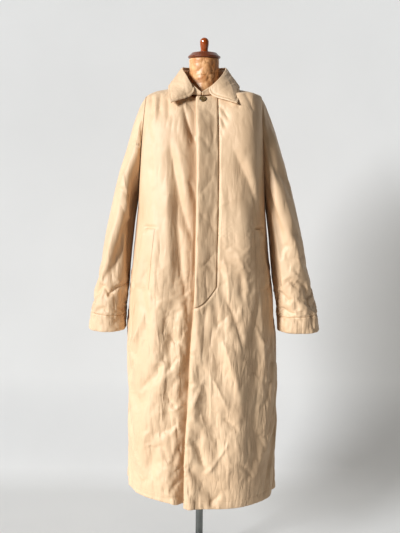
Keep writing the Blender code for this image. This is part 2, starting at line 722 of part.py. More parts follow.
def make_form(cover, wood, steel):
    z = column(FORM_SECTIONS, FORM_COLUMNS, "z")
    angle = np.linspace(0.0, 2 * math.pi, FORM_SIDES, endpoint=False)[None, :]
    width, depth, middle, square = (
        column(FORM_SECTIONS, FORM_COLUMNS, name)[:, None]
        for name in ("width", "depth", "centre_y", "square"))
    across, forward = np.cos(angle), np.sin(angle)
    size = (np.abs(across) ** square + np.abs(forward) ** square) ** (1 / square)
    points = np.stack([width * across / size, middle + depth * forward / size,
                       z[:, None] + 0 * angle], axis=-1)
    rows = len(z)
    r, c = np.meshgrid(np.arange(rows - 1), np.arange(FORM_SIDES), indexing="ij")
    a, b = r * FORM_SIDES + c, r * FORM_SIDES + (c + 1) % FORM_SIDES
    sides = np.stack([a, b, b + FORM_SIDES, a + FORM_SIDES], axis=-1).reshape(-1, 4)
    faces = [tuple(f) for f in sides]
    faces.append(tuple(range(FORM_SIDES))[::-1])
    faces.append(tuple((rows - 1) * FORM_SIDES + i for i in range(FORM_SIDES)))
    mesh_object("form_torso", points.reshape(-1, 3), faces, cover, math.radians(50))

    bottom = CAP_BOTTOM_Z
    cap = [(0.0, bottom + CAP_HEIGHT), (CAP_RADIUS * 0.45, bottom + CAP_HEIGHT * 0.98)]
    cap += [(CAP_RADIUS * 0.75, bottom + CAP_HEIGHT * 0.84)]
    cap += arc((CAP_RADIUS - 0.004, bottom + 0.0045), 0.004, 75, -85, 8)
    cap += [(0.0, bottom + 0.0005)]
    turned("neck_cap", cap, wood)

    foot = bottom + CAP_HEIGHT + 0.0004
    knob = foot + FINIAL_HEIGHT - FINIAL_RADIUS
    finial = arc((0.0, knob), FINIAL_RADIUS, 90, 0, 8)
    finial += [(FINIAL_RADIUS * 0.97, knob - 0.008), (FINIAL_RADIUS * 0.84, foot + 0.009),
               (FINIAL_RADIUS * 0.80, foot + 0.004), (FINIAL_RADIUS * 0.92, foot + 0.0015),
               (FINIAL_RADIUS * 0.92, foot), (0.0, foot)]
    turned("finial", finial, wood, steps=24)

    torso_bottom = FORM_SECTIONS[0][0]
    pole = bpy.data.meshes.new("pole")
    shape = bmesh.new()
    length = torso_bottom - HUB_Z - 0.001
    bmesh.ops.create_cone(shape, cap_ends=True, segments=28, radius1=POLE_RADIUS,
                          radius2=POLE_RADIUS, depth=length)
    shape.to_mesh(pole)
    shape.free()
    pole.materials.append(steel)
    obj = bpy.data.objects.new("pole", pole)
    obj.location = (0.0, 0.0, HUB_Z + 0.0005 + length / 2)
    PARTS.objects.link(obj)

    base = [(0.0, HUB_Z), (HUB_RADIUS - 0.003, HUB_Z)]
    base += arc((HUB_RADIUS - 0.003, HUB_Z - 0.003), 0.003, 90, 0, 4)
    base += [(HUB_RADIUS, FOOT_THICKNESS + 0.006)]
    base += [(HUB_RADIUS + 0.006, FOOT_THICKNESS)]
    base += arc((FOOT_RADIUS - 0.002, FOOT_THICKNESS - 0.002), 0.002, 90, 0, 4)
    base += [(FOOT_RADIUS, 0.0), (0.0, 0.0)]
    turned("stand_foot", base, steel, steps=40)


# ---------------------------------------------------------------- scene


def material(name, colour, roughness, metallic=0.0):
    made = bpy.data.materials.new(name)
    made.use_nodes = True
    shader = made.node_tree.nodes["Principled BSDF"]
    shader.inputs["Base Color"].default_value = colour
    shader.inputs["Roughness"].default_value = roughness
    shader.inputs["Metallic"].default_value = metallic
    made.diffuse_color = colour
    return made


for old in list(bpy.data.objects):
    bpy.data.objects.remove(old)

PARTS = bpy.data.collections.new("padded_coat_on_form")
bpy.context.scene.collection.children.link(PARTS)
CUTTERS = bpy.data.collections.new("cutters")
bpy.context.scene.collection.children.link(CUTTERS)

CLOTH = material("beige padded cloth", CLOTH_COLOUR, 0.75)
COVER = material("tan form cover", COVER_COLOUR, 0.6)
WOOD = material("varnished wood", WOOD_COLOUR, 0.35)
HORN = material("brown horn", HORN_COLOUR, 0.3)
STEEL = material("grey steel", STEEL_COLOUR, 0.35, 1.0)

make_panels(CLOTH)
make_fly(CLOTH)
make_welts(CLOTH)
make_sleeves(CLOTH)
make_collar(CLOTH)
make_button(HORN, CUTTERS)
make_form(COVER, WOOD, STEEL)
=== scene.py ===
import math

import bpy
import numpy as np
from mathutils import Matrix


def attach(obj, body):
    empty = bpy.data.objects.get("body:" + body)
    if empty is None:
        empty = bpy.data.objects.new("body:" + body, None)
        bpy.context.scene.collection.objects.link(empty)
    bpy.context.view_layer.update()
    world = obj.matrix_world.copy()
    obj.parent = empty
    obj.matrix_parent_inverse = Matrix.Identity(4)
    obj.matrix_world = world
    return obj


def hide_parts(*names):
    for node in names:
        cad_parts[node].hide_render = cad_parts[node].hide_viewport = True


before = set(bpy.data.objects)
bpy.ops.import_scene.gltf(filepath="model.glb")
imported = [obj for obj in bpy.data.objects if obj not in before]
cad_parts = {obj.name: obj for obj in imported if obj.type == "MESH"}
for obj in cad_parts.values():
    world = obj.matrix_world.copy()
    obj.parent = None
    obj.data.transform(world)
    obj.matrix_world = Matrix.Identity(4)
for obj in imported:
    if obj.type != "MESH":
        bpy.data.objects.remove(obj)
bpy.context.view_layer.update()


# a smooth curve through (keys, values), read at any keys: cubic Hermite with central slopes
def readCurve(keys, values, at):
    keys, values = np.asarray(keys, float), np.asarray(values, float)
    slopes = np.gradient(values, keys)
    at = np.clip(np.asarray(at, float), keys[0], keys[-1])
    i = np.clip(np.searchsorted(keys, at) - 1, 0, len(keys) - 2)
    span = keys[i + 1] - keys[i]
    t = (at - keys[i]) / span
    low = (2 * t**3 - 3 * t**2 + 1) * values[i] + (t**3 - 2 * t**2 + t) * span * slopes[i]
    return low + (3 * t**2 - 2 * t**3) * values[i + 1] + (t**3 - t**2) * span * slopes[i + 1]


# 0 below nought, 1 above one, and 3t^2 - 2t^3 between
def ease(t):
    t = np.clip(t, 0.0, 1.0)
    return t * t * (3 - 2 * t)


# 1 below a height and 0 above it, eased over a span that reaches down from that height
def below(z, top, over):
    return ease((top - z) / over)


# 1 at nought, falling away as exp(-(distance / width)^2)
def bell(distance, width):
    return np.exp(-(distance / width)**2)


def unit(v):
    return v / np.maximum(np.linalg.norm(v, axis=-1, keepdims=True), 1e-12)


# a hash of whole-number cells: multiply by odd numbers, add, and fold the high bits down twice
def scramble(cells, seed):
    odd = np.array([374761393, 668265263, 1440662683])[:cells.shape[-1]]
    mixed = (cells * odd).sum(axis=-1) + seed * 2246822519
    mixed = ((mixed ^ (mixed >> 13)) & 0xFFFFFFFF) * 1274126177 & 0xFFFFFFFF
    return ((mixed ^ (mixed >> 15)) * 1103515245 & 0xFFFFFFFF) >> 2


# gradient noise in space, about -1 to 1: each corner's random slope times the way to it, eased
def cloudNoise(p, seed):
    cell = np.floor(p).astype(np.int64)
    inside = p - cell
    fade = inside**3 * (inside * (inside * 6 - 15) + 10)
    total = np.zeros(p.shape[:-1])
    for corner in np.ndindex(2, 2, 2):
        bits = scramble(cell + np.array(corner), seed)
        slope = np.stack([(bits >> shift) & 1023 for shift in (0, 10, 20)], axis=-1) / 511.5 - 1
        weight = np.prod(np.where(np.array(corner) == 1, fade, 1 - fade), axis=-1)
        total += weight * np.sum(slope * (inside - np.array(corner)), axis=-1)
    return total * 1.5


# Round puffs with straight sharp valleys between, as in cloth crumpled over wadding. Each cell has
# a random centre and lift; a puff falls as the square of the distance, and a soft maximum joins
# them.
def pillows(u, v, size, seed, soft=16.0):
    p = np.stack([u / size[0], v / size[1]], axis=-1)
    cell = np.floor(p).astype(np.int64)
    total = np.zeros(p.shape[:-1])
    for step in np.ndindex(3, 3):
        near = cell + np.array(step) - 1
        bits = scramble(near, seed)
        centre = near + np.stack([bits & 1023, (bits >> 10) & 1023], axis=-1) / 1023
        lift = ((bits >> 20) & 1023) / 1023
        total += np.exp(-soft * (np.sum((p - centre)**2, axis=-1) - 0.3 * lift))
    return np.log(total) / soft * 2.2 + 0.25


# distances from 0 to length: an even step, but bunched at both ends to carry a rolled edge
def rolledSteps(length, step, roll):
    lead = roll * (1 - np.cos(np.linspace(0.0, math.pi / 2, 7)))
    middle = np.linspace(lead[-1], length - lead[-1], max(3, int((length - 2 * roll) / step)))
    return np.concatenate([lead[:-1], middle, length - lead[:-1][::-1]])


# Creases are rows of x1, z1, x0, z0, bow, half-width, depth, crispness: lines from one point to
# another that bow sideways. The height is depth times exp(-(distance / half-width)^crispness),
# and both ends fade.
def creaseHeight(across, up, creases):
    height = np.zeros(np.broadcast(across, up).shape)
    for x1, z1, x0, z0, bow, width, depth, crisp in creases:
        reach = 3.0 * width + abs(bow)
        near = ((across > min(x0, x1) - reach) & (across < max(x0, x1) + reach)
                & (up > min(z0, z1) - reach) & (up < max(z0, z1) + reach))
        if not near.any():
            continue
        runX, runZ = x0 - x1, z0 - z1
        length = math.hypot(runX, runZ)
        a, b = across[near] - x1, up[near] - z1
        along = (a * runX + b * runZ) / length**2
        aside = (a * runZ - b * runX) / length + 4 * bow * along * (1 - along)
        fade = ease(along / 0.28) * ease((1 - along) / 0.28)
        spread = width * (0.5 + 0.5 * fade)
        height[near] += depth * fade * np.exp(-(np.abs(aside) / spread)**crisp)
    return height


# random creases over an area: each one's place, lean, length and depth are drawn from ranges
def scatterCreases(seed, count, area, length, width, depth, lean):
    draw = np.random.default_rng(seed)
    x = draw.uniform(area[0], area[1], count)
    z = draw.uniform(area[2], area[3], count)
    size = draw.uniform(*length, count) * draw.uniform(0.6, 1.0, count)
    turned = np.radians(draw.normal(0.0, lean, count))
    dx, dz = np.sin(turned) * size / 2, np.cos(turned) * size / 2
    sign = np.where(draw.random(count) < 0.6, -1.0, 1.0)
    return np.stack([
        x - dx, z + dz, x + dx, z - dz,
        draw.normal(0.0, 0.10, count) * size,
        draw.uniform(*width, count),
        sign * draw.uniform(*depth, count),
        draw.uniform(1.0, 1.6, count),
    ], axis=-1)


# quads between neighbours of a grid; the columns join up round a tube
def gridFaces(rows, columns, closed):
    across = np.arange(columns if closed else columns - 1)
    r, c = np.meshgrid(np.arange(rows - 1), across, indexing="ij")
    a, b = r * columns + c, r * columns + (c + 1) % columns
    return np.stack([a, b, b + columns, a + columns], axis=-1).reshape(-1, 4)


# quads along a line of outer points and the inner points behind them
def rimFaces(line, inner, closed):
    after = np.roll(line, -1)
    if not closed:
        line, after = line[:-1], after[:-1]
    return np.stack([line, after, after + inner, line + inner], axis=-1)


# a piece from its points and its faces; the faces come in groups, each with as many columns as
# its faces have sides
def makePiece(name, points, faces, material, uv=None):
    corners = np.concatenate([group.ravel() for group in faces]).astype(np.int32)
    sides = np.concatenate([np.full(len(group), group.shape[1]) for group in faces])
    mesh = bpy.data.meshes.new(name)
    mesh.vertices.add(len(points))
    mesh.vertices.foreach_set("co", np.ascontiguousarray(points, dtype=np.float32).ravel())
    mesh.loops.add(len(corners))
    mesh.loops.foreach_set("vertex_index", corners)
    mesh.polygons.add(len(sides))
    mesh.polygons.foreach_set("loop_start", (np.cumsum(sides) - sides).astype(np.int32))
    mesh.update(calc_edges=True)
    mesh.materials.append(material)
    if uv is not None:
        layer = mesh.uv_layers.new(name="cut")
        layer.data.foreach_set("uv", uv[corners].astype(np.float32).ravel())
    mesh.shade_smooth()
    piece = bpy.data.objects.new(name, mesh)
    bpy.context.scene.collection.objects.link(piece)
    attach(piece, "root")
    return piece


# distances along a grid's lines, down its columns and along its rows
def gridLengths(points):
    down = np.linalg.norm(np.diff(points, axis=0), axis=-1)
    along = np.linalg.norm(np.diff(points, axis=1), axis=-1)
    down = np.concatenate([np.zeros((1, points.shape[1])), np.cumsum(down, axis=0)])
    return down, np.concatenate([np.zeros((points.shape[0], 1)), np.cumsum(along, axis=1)], axis=1)


def surfaceNormals(points):
    return unit(np.cross(np.gradient(points, axis=1), np.gradient(points, axis=0)))


# a closed wall between two grids, one behind the other, from lengths down and along the outer one
def makeWall(name, outer, inner, down, along, material, closed=False):
    rows, columns = outer.shape[:2]
    count = rows * columns
    front = gridFaces(rows, columns, closed)
    faces = [front, front[:, ::-1] + count,
             rimFaces(np.arange(columns)[::-1], count, closed),
             rimFaces((rows - 1) * columns + np.arange(columns), count, closed)]
    if not closed:
        faces.append(rimFaces(np.arange(rows) * columns, count, False))
        faces.append(rimFaces((np.arange(rows) * columns + columns - 1)[::-1], count, False))
    points = np.concatenate([outer.reshape(-1, 3), inner.reshape(-1, 3)])
    uv = np.stack([along, down], axis=-1).reshape(-1, 2)
    return makePiece(name, points, faces, material, np.concatenate([uv, uv]))


# A wall behind a grid of outer points. Within roll of an edge both faces draw in to the middle of
# the wall along a quarter circle, by the edge's share: 1 is a rolled edge and 0 a cut one.
def clothWall(name, outer, normals, wall, roll, edges, material, closed=False):
    down, along = gridLengths(outer)
    distances = dict(bottom=down, top=down[-1:] - down, start=along, end=along[:, -1:] - along)
    drawn = np.zeros(down.shape)
    for edge, share in edges.items():
        near = np.clip(distances[edge] / roll, 0.0, 1.0)
        drawn = np.maximum(drawn, share * (1 - np.sqrt(1 - (1 - near)**2)))
    half = np.broadcast_to(np.asarray(wall) / 2, drawn.shape)
    middle = outer - normals * half[..., None]
    arm = normals * (half * (1 - drawn))[..., None]
    return makeWall(name, middle + arm, middle - arm, down, along, material, closed)


# a grid read at any row and column numbers: cubic Hermite down, then along; columns may join up
def readGrid(grid, rows, columns, closed=False):
    if closed:
        grid = np.concatenate([grid[:, -2:], grid, grid[:, :3]], axis=1)
        columns = columns + 2
    for axis, at in ((0, np.asarray(rows, float)), (1, np.asarray(columns, float))):
        slopes = np.gradient(grid, axis=axis)
        i = np.clip(np.floor(at).astype(int), 0, grid.shape[axis] - 2)
        t = (at - i).reshape((-1, 1, 1) if axis == 0 else (1, -1, 1))
        low, high = np.take(grid, i, axis), np.take(grid, i + 1, axis)
        rise, fall = np.take(slopes, i, axis), np.take(slopes, i + 1, axis)
        grid = ((2 * t**3 - 3 * t**2 + 1) * low + (t**3 - 2 * t**2 + t) * rise
                + (3 * t**2 - 2 * t**3) * high + (t**3 - t**2) * fall)
    return grid


# stitches: the pitch and the length of one, the thread's half-thickness, and its rings and sides
stitch = dict(pitch=0.0036, length=0.0025, radius=0.00032, rings=4, sides=4, sunk=0.00006)


# points and normals of a surface at a distance from a grid's first row (or last, if fromEnd)
def lineOn(points, normals, distance, fromEnd=False):
    if fromEnd:
        points, normals = points[::-1], normals[::-1]
    down = gridLengths(points)[0]
    after = np.clip((down < distance).sum(axis=0), 1, len(down) - 1)
    columns = np.arange(points.shape[1])
    low, high = down[after - 1, columns], down[after, columns]
    t = ((distance - low) / (high - low))[:, None]
    return (points[after - 1, columns] * (1 - t) + points[after, columns] * t,
            unit(normals[after - 1, columns] * (1 - t) + normals[after, columns] * t))


# Rows of stitches along lines: each is a thread that arcs out of the cloth and back. Its rings
# follow the line, at half a sine's height, and narrow at both ends.
def makeStitches(name, lines):
    rings, sides, radius = stitch["rings"], stitch["sides"], stitch["radius"]
    one = np.concatenate([gridFaces(rings, sides, True), [[3, 2, 1, 0]],
                          [(rings - 1) * sides + np.arange(sides)]])
    share = np.linspace(0.0, 1.0, rings)
    arch = np.sin(math.pi * share)
    angle = np.linspace(0.0, 2 * math.pi, sides, endpoint=False)[:, None]
    tubes = []
    for line, normals in lines:
        run = np.concatenate([[0.0], np.cumsum(np.linalg.norm(np.diff(line, axis=0), axis=-1))])
        at = np.arange(0.003, run[-1] - 0.006, stitch["pitch"])[:, None] + share * stitch["length"]
        middle = np.stack([np.interp(at, run, line[:, k]) for k in range(3)], axis=-1)
        out = unit(np.stack([np.interp(at, run, normals[:, k]) for k in range(3)], axis=-1))
        side = unit(np.cross(middle[:, -1:] - middle[:, :1], out))
        middle = middle + out * ((arch - 0.35) * radius - stitch["sunk"])[:, None]
        ring = out[:, :, None] * np.cos(angle) + side[:, :, None] * np.sin(angle)
        tubes.append(middle[:, :, None] + ring * radius * (0.35 + 0.65 * arch)[:, None, None])
    points = np.concatenate(tubes)
    first = np.arange(len(points))[:, None, None] * rings * sides
    return makePiece(name, points.reshape(-1, 3), [(one[None] + first).reshape(-1, 4)], thread)


# lines to be stitched, by the piece that they are on
stitchLines = {}

# How the cloth settles: the grid's step, the solver's own values, the least and most growth, and
# how firmly points are held: lightly in the open, more near an edge, on the cuffs and beside the
# body, and fully over a margin round what is sewn. A panel grows below its calmZ, and less on the
# right front's side; a sleeve grows all the way down, and more below its middle.
settle = dict(
    frames=20, step=0.0062, quality=5, mass=0.3, stretch=15.0, shear=7.5, bend=1.5,
    damping=5.0, air=3.0, gravity=0.12, growLeast=0.010, growMost=0.034,
    light=0.10, edge=0.3, cuff=0.2, cuffSeam=0.5,
    margin=0.004, armholeMargin=0.010, underMargin=0.012,
    firmLead=0.06, firmOver=0.18, growOver=0.35, calmX=-0.105, calmLowZ=0.42, calming=0.75,
    sleeveTop=0.025, sleeveSide=0.2, sleeveGrow=0.12, sleeveMore=0.33,
)


# Blender's cloth on coarse grids, all at once. Each grows a little, and is held lightly to its
# place and firmly at its seams, so it buckles into creases. Returns how far every point moved.
def buckle(grids):
    scene = bpy.context.scene
    pieces = {}
    for name, grid in grids.items():
        rows, columns = grid["points"].shape[:2]
        mesh = bpy.data.meshes.new(name + "Settling")
        faces = gridFaces(rows, columns, grid["closed"])
        mesh.from_pydata(grid["points"].reshape(-1, 3).tolist(), [], faces.tolist())
        piece = bpy.data.objects.new(name + "Settling", mesh)
        scene.collection.objects.link(piece)
        for group, weights in (("hold", grid["hold"]), ("grow", grid["grow"])):
            made = piece.vertex_groups.new(name=group)
            levels = np.round(np.clip(weights, 0, 1).ravel() * 50).astype(int)
            for level in np.unique(levels):
                made.add(np.nonzero(levels == level)[0].tolist(), level / 50, "REPLACE")
        modifier = piece.modifiers.new("settle", "CLOTH")
        how = modifier.settings
        how.quality, how.mass, how.air_damping = settle["quality"], settle["mass"], settle["air"]
        how.tension_stiffness = how.compression_stiffness = settle["stretch"]
        how.shear_stiffness, how.bending_stiffness = settle["shear"], settle["bend"]
        how.tension_damping = how.compression_damping = how.shear_damping = settle["damping"]
        how.bending_model = "ANGULAR"
        how.vertex_group_mass, how.vertex_group_shrink = "hold", "grow"
        how.shrink_min, how.shrink_max = -settle["growLeast"], -settle["growMost"]
        how.effector_weights.gravity = settle["gravity"]
        modifier.collision_settings.use_collision = False
        modifier.point_cache.frame_end = settle["frames"]
        pieces[name] = piece
    for frameNumber in range(1, settle["frames"] + 1):
        scene.frame_set(frameNumber)
    graph = bpy.context.evaluated_depsgraph_get()
    moved = {}
    for name, piece in pieces.items():
        settled = piece.evaluated_get(graph).data
        flat = np.empty(len(settled.vertices) * 3, np.float32)
        settled.vertices.foreach_get("co", flat)
        moved[name] = flat.reshape(grids[name]["points"].shape) - grids[name]["points"]
        mesh = piece.data
        bpy.data.objects.remove(piece)
        bpy.data.meshes.remove(mesh)
    scene.frame_set(1)
    return moved


# sRGB hex to linear
def colour(hexCode):
    parts = [int(hexCode[i:i + 2], 16) / 255 for i in (1, 3, 5)]
    return (*[c / 12.92 if c <= 0.04045 else ((c + 0.055) / 1.055)**2.4 for c in parts], 1.0)


# adds a node, sets its properties, and sets or links its inputs, by name or place in the list
def addNode(tree, kind, inputs=None, **settings):
    node = tree.nodes.new(kind)
    for name, value in settings.items():
        setattr(node, name, value)
    for name, value in (inputs or {}).items():
        if isinstance(value, bpy.types.NodeSocket):
            tree.links.new(value, node.inputs[name])
        else:
            node.inputs[name].default_value = value
    return node


# the result of a sum worked out by a node
def addMath(tree, operation, *values):
    return addNode(tree, "ShaderNodeMath", dict(enumerate(values)), operation=operation).outputs[0]


# a new material, its shader's inputs set, and the place of a point on the piece
def newMaterial(name, inputs):
    material = bpy.data.materials.new(name)
    material.use_nodes = True
    tree, shader = material.node_tree, material.node_tree.nodes["Principled BSDF"]
    for key, value in inputs.items():
        shader.inputs[key].default_value = value
    return material, tree, shader, addNode(tree, "ShaderNodeTexCoord")


# two colours mixed by a factor; it colours the shader too, unless it's only wanted as a value
def addTint(tree, factor, low, high, shader=None):
    tint = addNode(tree, "ShaderNodeMix", {
        "Factor": factor, 6: colour(low), 7: colour(high)}, data_type="RGBA").outputs[2]
    if shader:
        tree.links.new(tint, shader.inputs["Base Color"])
    return tint


# Thin creases that come and go: 1 in the sharp valleys of a stretched, leaning noise and 0 between.
# The value is 1 less the distance from the noise's middle over a width, times a broad patchy noise.
def addStreaks(tree, place, size, lean, width, seed):
    turned = addNode(tree, "ShaderNodeMapping", {
        "Vector": place, "Rotation": (0.0, math.radians(lean), 0.0),
        "Scale": (1 / size[0], 1 / size[0], 1 / size[1]), "Location": (seed, 0.0, 0.0)})
    noise = addNode(tree, "ShaderNodeTexNoise", {
        "Vector": turned.outputs[0], "Scale": 1.0, "Detail": 1.0, "Roughness": 0.3})
    away = addMath(tree, "ABSOLUTE", addMath(tree, "SUBTRACT", noise.outputs["Fac"], 0.5))
    line = addNode(tree, "ShaderNodeMapRange", {
        "Value": away, "From Min": 0.0, "From Max": width, "To Min": 1.0, "To Max": 0.0})
    patch = addNode(tree, "ShaderNodeTexNoise", {
        "Vector": place, "Scale": 11.0 + seed, "Detail": 1.0})
    share = addNode(tree, "ShaderNodeMapRange", {
        "Value": patch.outputs["Fac"], "From Min": 0.44, "From Max": 0.60,
        "To Min": 0.05, "To Max": 1.0})
    return addMath(tree, "MULTIPLY", line.outputs[0], share.outputs[0])


# The shell's looks, and its thin creases by set: size across and along, lean, width, depth, seed.
# They run mostly up and down, and are weaker from lowZ up to highZ.
shell = dict(
    inputs={"Roughness": 0.57, "Specular IOR Level": 0.60, "Sheen Weight": 0.20,
            "Sheen Roughness": 0.45, "Sheen Tint": colour("#FFF2DC")},
    streaks=[
        ((0.034, 0.210), 14, 0.15, -0.0019, 3.7), ((0.028, 0.170), -19, 0.15, -0.0017, 8.1),
        ((0.042, 0.200), 30, 0.11, 0.0018, 5.3), ((0.017, 0.100), 22, 0.10, -0.0006, 6.2),
        ((0.015, 0.085), -26, 0.10, -0.0005, 2.4)],
    lowZ=0.78, highZ=1.06, highShare=0.5, weave=290.0, weaveDepth=0.00012,
)


# Cotton and nylon shell, piece-dyed beige: satin, so that crowns turned to the light gleam almost
# white and hollows stay a warm brown. The weave is drawn coarser than life, at 1.1 mm, and the dye
# has faint paler and browner clouds.
def makeCloth(name, pale, deep):
    material, tree, shader, place = newMaterial(name, shell["inputs"])
    cloud = addNode(tree, "ShaderNodeTexNoise", {
        "Vector": place.outputs["Object"], "Scale": 11.0, "Detail": 5.0, "Roughness": 0.6})
    addTint(tree, cloud.outputs["Fac"], deep, pale, shader)
    warp, weft = (addNode(tree, "ShaderNodeTexWave", {
        "Vector": place.outputs["UV"], "Scale": shell["weave"], "Distortion": 0.6, "Detail": 1.0},
        wave_type="BANDS", bands_direction=direction) for direction in "XY")
    weave = addMath(tree, "ADD", warp.outputs["Fac"], weft.outputs["Fac"])
    normal = addNode(tree, "ShaderNodeBump", {
        "Height": weave, "Strength": 0.25,
        "Distance": shell["weaveDepth"]}).outputs["Normal"]
    up = addNode(tree, "ShaderNodeSeparateXYZ", {0: place.outputs["Object"]}).outputs["Z"]
    low = addNode(tree, "ShaderNodeMapRange", {
        "Value": up, "From Min": shell["lowZ"], "From Max": shell["highZ"],
        "To Min": 1.0, "To Max": shell["highShare"]}).outputs[0]
    for size, lean, width, depth, seed in shell["streaks"]:
        streaks = addStreaks(tree, place.outputs["Object"], size, lean, width, seed)
        normal = addNode(tree, "ShaderNodeBump", {
            "Height": streaks, "Strength": low, "Distance": depth,
            "Normal": normal}).outputs["Normal"]
    tree.links.new(normal, shader.inputs["Normal"])
    return material


# Tan paper-like cover of the form: rubbed pale in clouds, with brown slanting streaks and a few
# faint veins, and a slight varnish.
def makeCover():
    material, tree, shader, place = newMaterial("creasedTanCover", {"Roughness": 0.42})
    cloud = addNode(tree, "ShaderNodeTexNoise", {
        "Vector": place.outputs["Object"], "Scale": 30.0, "Detail": 6.0, "Distortion": 0.8})
    ramp = addNode(tree, "ShaderNodeValToRGB", {"Fac": cloud.outputs["Fac"]})
    for stop, (at, tone) in zip(ramp.color_ramp.elements, ((0.34, "#BC8150"), (0.60, "#E6B684"))):
        stop.position, stop.color = at, colour(tone)
    veins = addStreaks(tree, place.outputs["Object"], (0.020, 0.045), 24, 0.045, 2.6)
    tree.links.new(addNode(tree, "ShaderNodeMix", {
        "Factor": veins, 6: ramp.outputs["Color"], 7: colour("#96602F")},
        data_type="RGBA").outputs[2], shader.inputs["Base Color"])
    bump = addNode(tree, "ShaderNodeBump", {"Height": veins, "Strength": 0.4, "Distance": -0.0008})
    tree.links.new(bump.outputs["Normal"], shader.inputs["Normal"])
    return material


# Turned beech under red-brown varnish: fine dark grain along it and a clear gloss.
def makeWood(name, pale, dark, gloss):
    material, tree, shader, place = newMaterial(name, {
        "Roughness": gloss, "Coat Weight": 0.6, "Coat Roughness": 0.12})
    stretch = addNode(tree, "ShaderNodeMapping", {
        "Vector": place.outputs["Object"], "Scale": (1.0, 1.0, 0.12)})
    grain = addNode(tree, "ShaderNodeTexNoise", {
        "Vector": stretch.outputs["Vector"], "Scale": 260.0, "Detail": 5.0, "Distortion": 0.8})
    addTint(tree, grain.outputs["Fac"], dark, pale, shader)
    return material


# Horn: dark olive brown with paler streaks, polished.
def makeHorn():
    material, tree, shader, place = newMaterial("brownHorn", {"Roughness": 0.28})
    streak = addNode(tree, "ShaderNodeTexNoise", {
        "Vector": place.outputs["Object"], "Scale": 140.0, "Detail": 3.0, "Distortion": 2.0})
    addTint(tree, streak.outputs["Fac"], "#3A2C1C", "#8A7048", shader)
    return material


# Steel tube, a little dull, with darker clouds of wear.
def makeSteel():
    material, tree, shader, place = newMaterial("dullSteel", {"Metallic": 1.0, "Roughness": 0.32})
    wear = addNode(tree, "ShaderNodeTexNoise", {
        "Vector": place.outputs["Object"], "Scale": 30.0, "Detail": 4.0})
    addTint(tree, wear.outputs["Fac"], "#6E716F", "#9A9D9A", shader)
    return material


cloth = makeCloth("beigeShell", "#E0C3A0", "#CCAA86")
thread = makeCloth("beigeThread", "#C8A676", "#B8946A")
cover = makeCover()
capWood = makeWood("redBeech", "#8A4A26", "#5A2A14", 0.38)
finialWood = makeWood("orangeBeech", "#B05A24", "#7C3815", 0.22)
horn = makeHorn()
steel = makeSteel()

# The body's horizontal sections by height: half-widths, depths and squareness, and the lines of
# the shoulder and of the left front's edge.
coat = dict(
    seamGap=0.0006, wall=0.008, layGap=0.0005,
    hemZ=0.245, underarmZ=1.165, chestZ=1.25, chestShare=0.8, neckX=0.074,
    frontNeckZ=1.442, backNeckZ=1.462, armholeTurn=32.0, hemRise=0.014,
    z=[0.245, 0.400, 0.550, 0.700, 0.850, 1.000, 1.165, 1.250, 1.350, 1.430],
    right=[0.2180, 0.2205, 0.2230, 0.2240, 0.2190, 0.2030, 0.1880, 0.1870, 0.1840, 0.1800],
    left=[0.2290, 0.2330, 0.2340, 0.2270, 0.2120, 0.1960, 0.1800, 0.1780, 0.1740, 0.1790],
    front=[0.1600, 0.1590, 0.1560, 0.1520, 0.1470, 0.1410, 0.1330, 0.1290, 0.1290, 0.1290],
    back=[0.1700, 0.1680, 0.1640, 0.1590, 0.1530, 0.1460, 0.1390, 0.1360, 0.1360, 0.1360],
    square=[2.5, 2.5, 2.5, 2.6, 2.7, 2.8, 3.0, 3.0, 3.0, 3.0],
    shoulderX=[0.000, 0.070, 0.105, 0.145, 0.165, 0.185],
    shoulderZ=[1.478, 1.471, 1.464, 1.455, 1.445, 1.428],
    edgeZ=[0.245, 0.410, 0.560, 0.740, 0.850, 1.000, 1.250, 1.430],
    edgeX=[-0.047, -0.046, -0.038, -0.031, -0.023, -0.020, -0.019, -0.023],
    topZ=1.43, neckRow=0.93, boxy=2.5, frontRounder=0.3,
    turnRadius=0.2, step=0.0036, backStep=0.0042, roll=0.0055, bendShare=0.86,
)

# long hanging folds: side, x1, z1, x0, z0, half-width, depth
hangingFolds = [
    ("front", -0.075, 1.330, -0.045, 0.860, 0.022, -0.004),
    ("front", -0.120, 1.250, -0.125, 0.500, 0.035, 0.008),
    ("front", -0.082, 1.050, -0.080, 0.450, 0.024, -0.005),
    ("front", 0.090, 1.300, 0.165, 1.000, 0.030, -0.009),
    ("front", 0.090, 0.900, 0.110, 0.320, 0.040, 0.009),
    ("front", 0.150, 0.900, 0.170, 0.350, 0.030, -0.008),
    ("back", -0.110, 1.250, -0.130, 0.300, 0.035, 0.010),
    ("back", -0.050, 1.150, -0.055, 0.300, 0.030, -0.010),
    ("back", 0.030, 1.200, 0.025, 0.300, 0.038, 0.010),
    ("back", 0.105, 1.100, 0.120, 0.300, 0.032, -0.010),
]


def shoulderZ(x):
    return readCurve(coat["shoulderX"], coat["shoulderZ"], np.abs(x))


def bodyColumn(name, z):
    return readCurve(coat["z"], coat[name], z)


def edgeX(z):
    return readCurve(coat["edgeZ"], coat["edgeX"], z)


def hOfZ(z):
    return coat["chestShare"] * (z - coat["hemZ"]) / (coat["chestZ"] - coat["hemZ"])


underarmH = hOfZ(coat["underarmZ"])


# the height of a row: even up to the chest, then a quarter sine
def plainZ(h):
    low = coat["hemZ"] + (coat["chestZ"] - coat["hemZ"]) * h / coat["chestShare"]
    rise = np.clip((h - coat["chestShare"]) / (1 - coat["chestShare"]), 0.0, 1.0)
    high = coat["chestZ"] + (coat["topZ"] - coat["chestZ"]) * np.sin(rise * math.pi / 2)
    return np.where(h < coat["chestShare"], low, high)


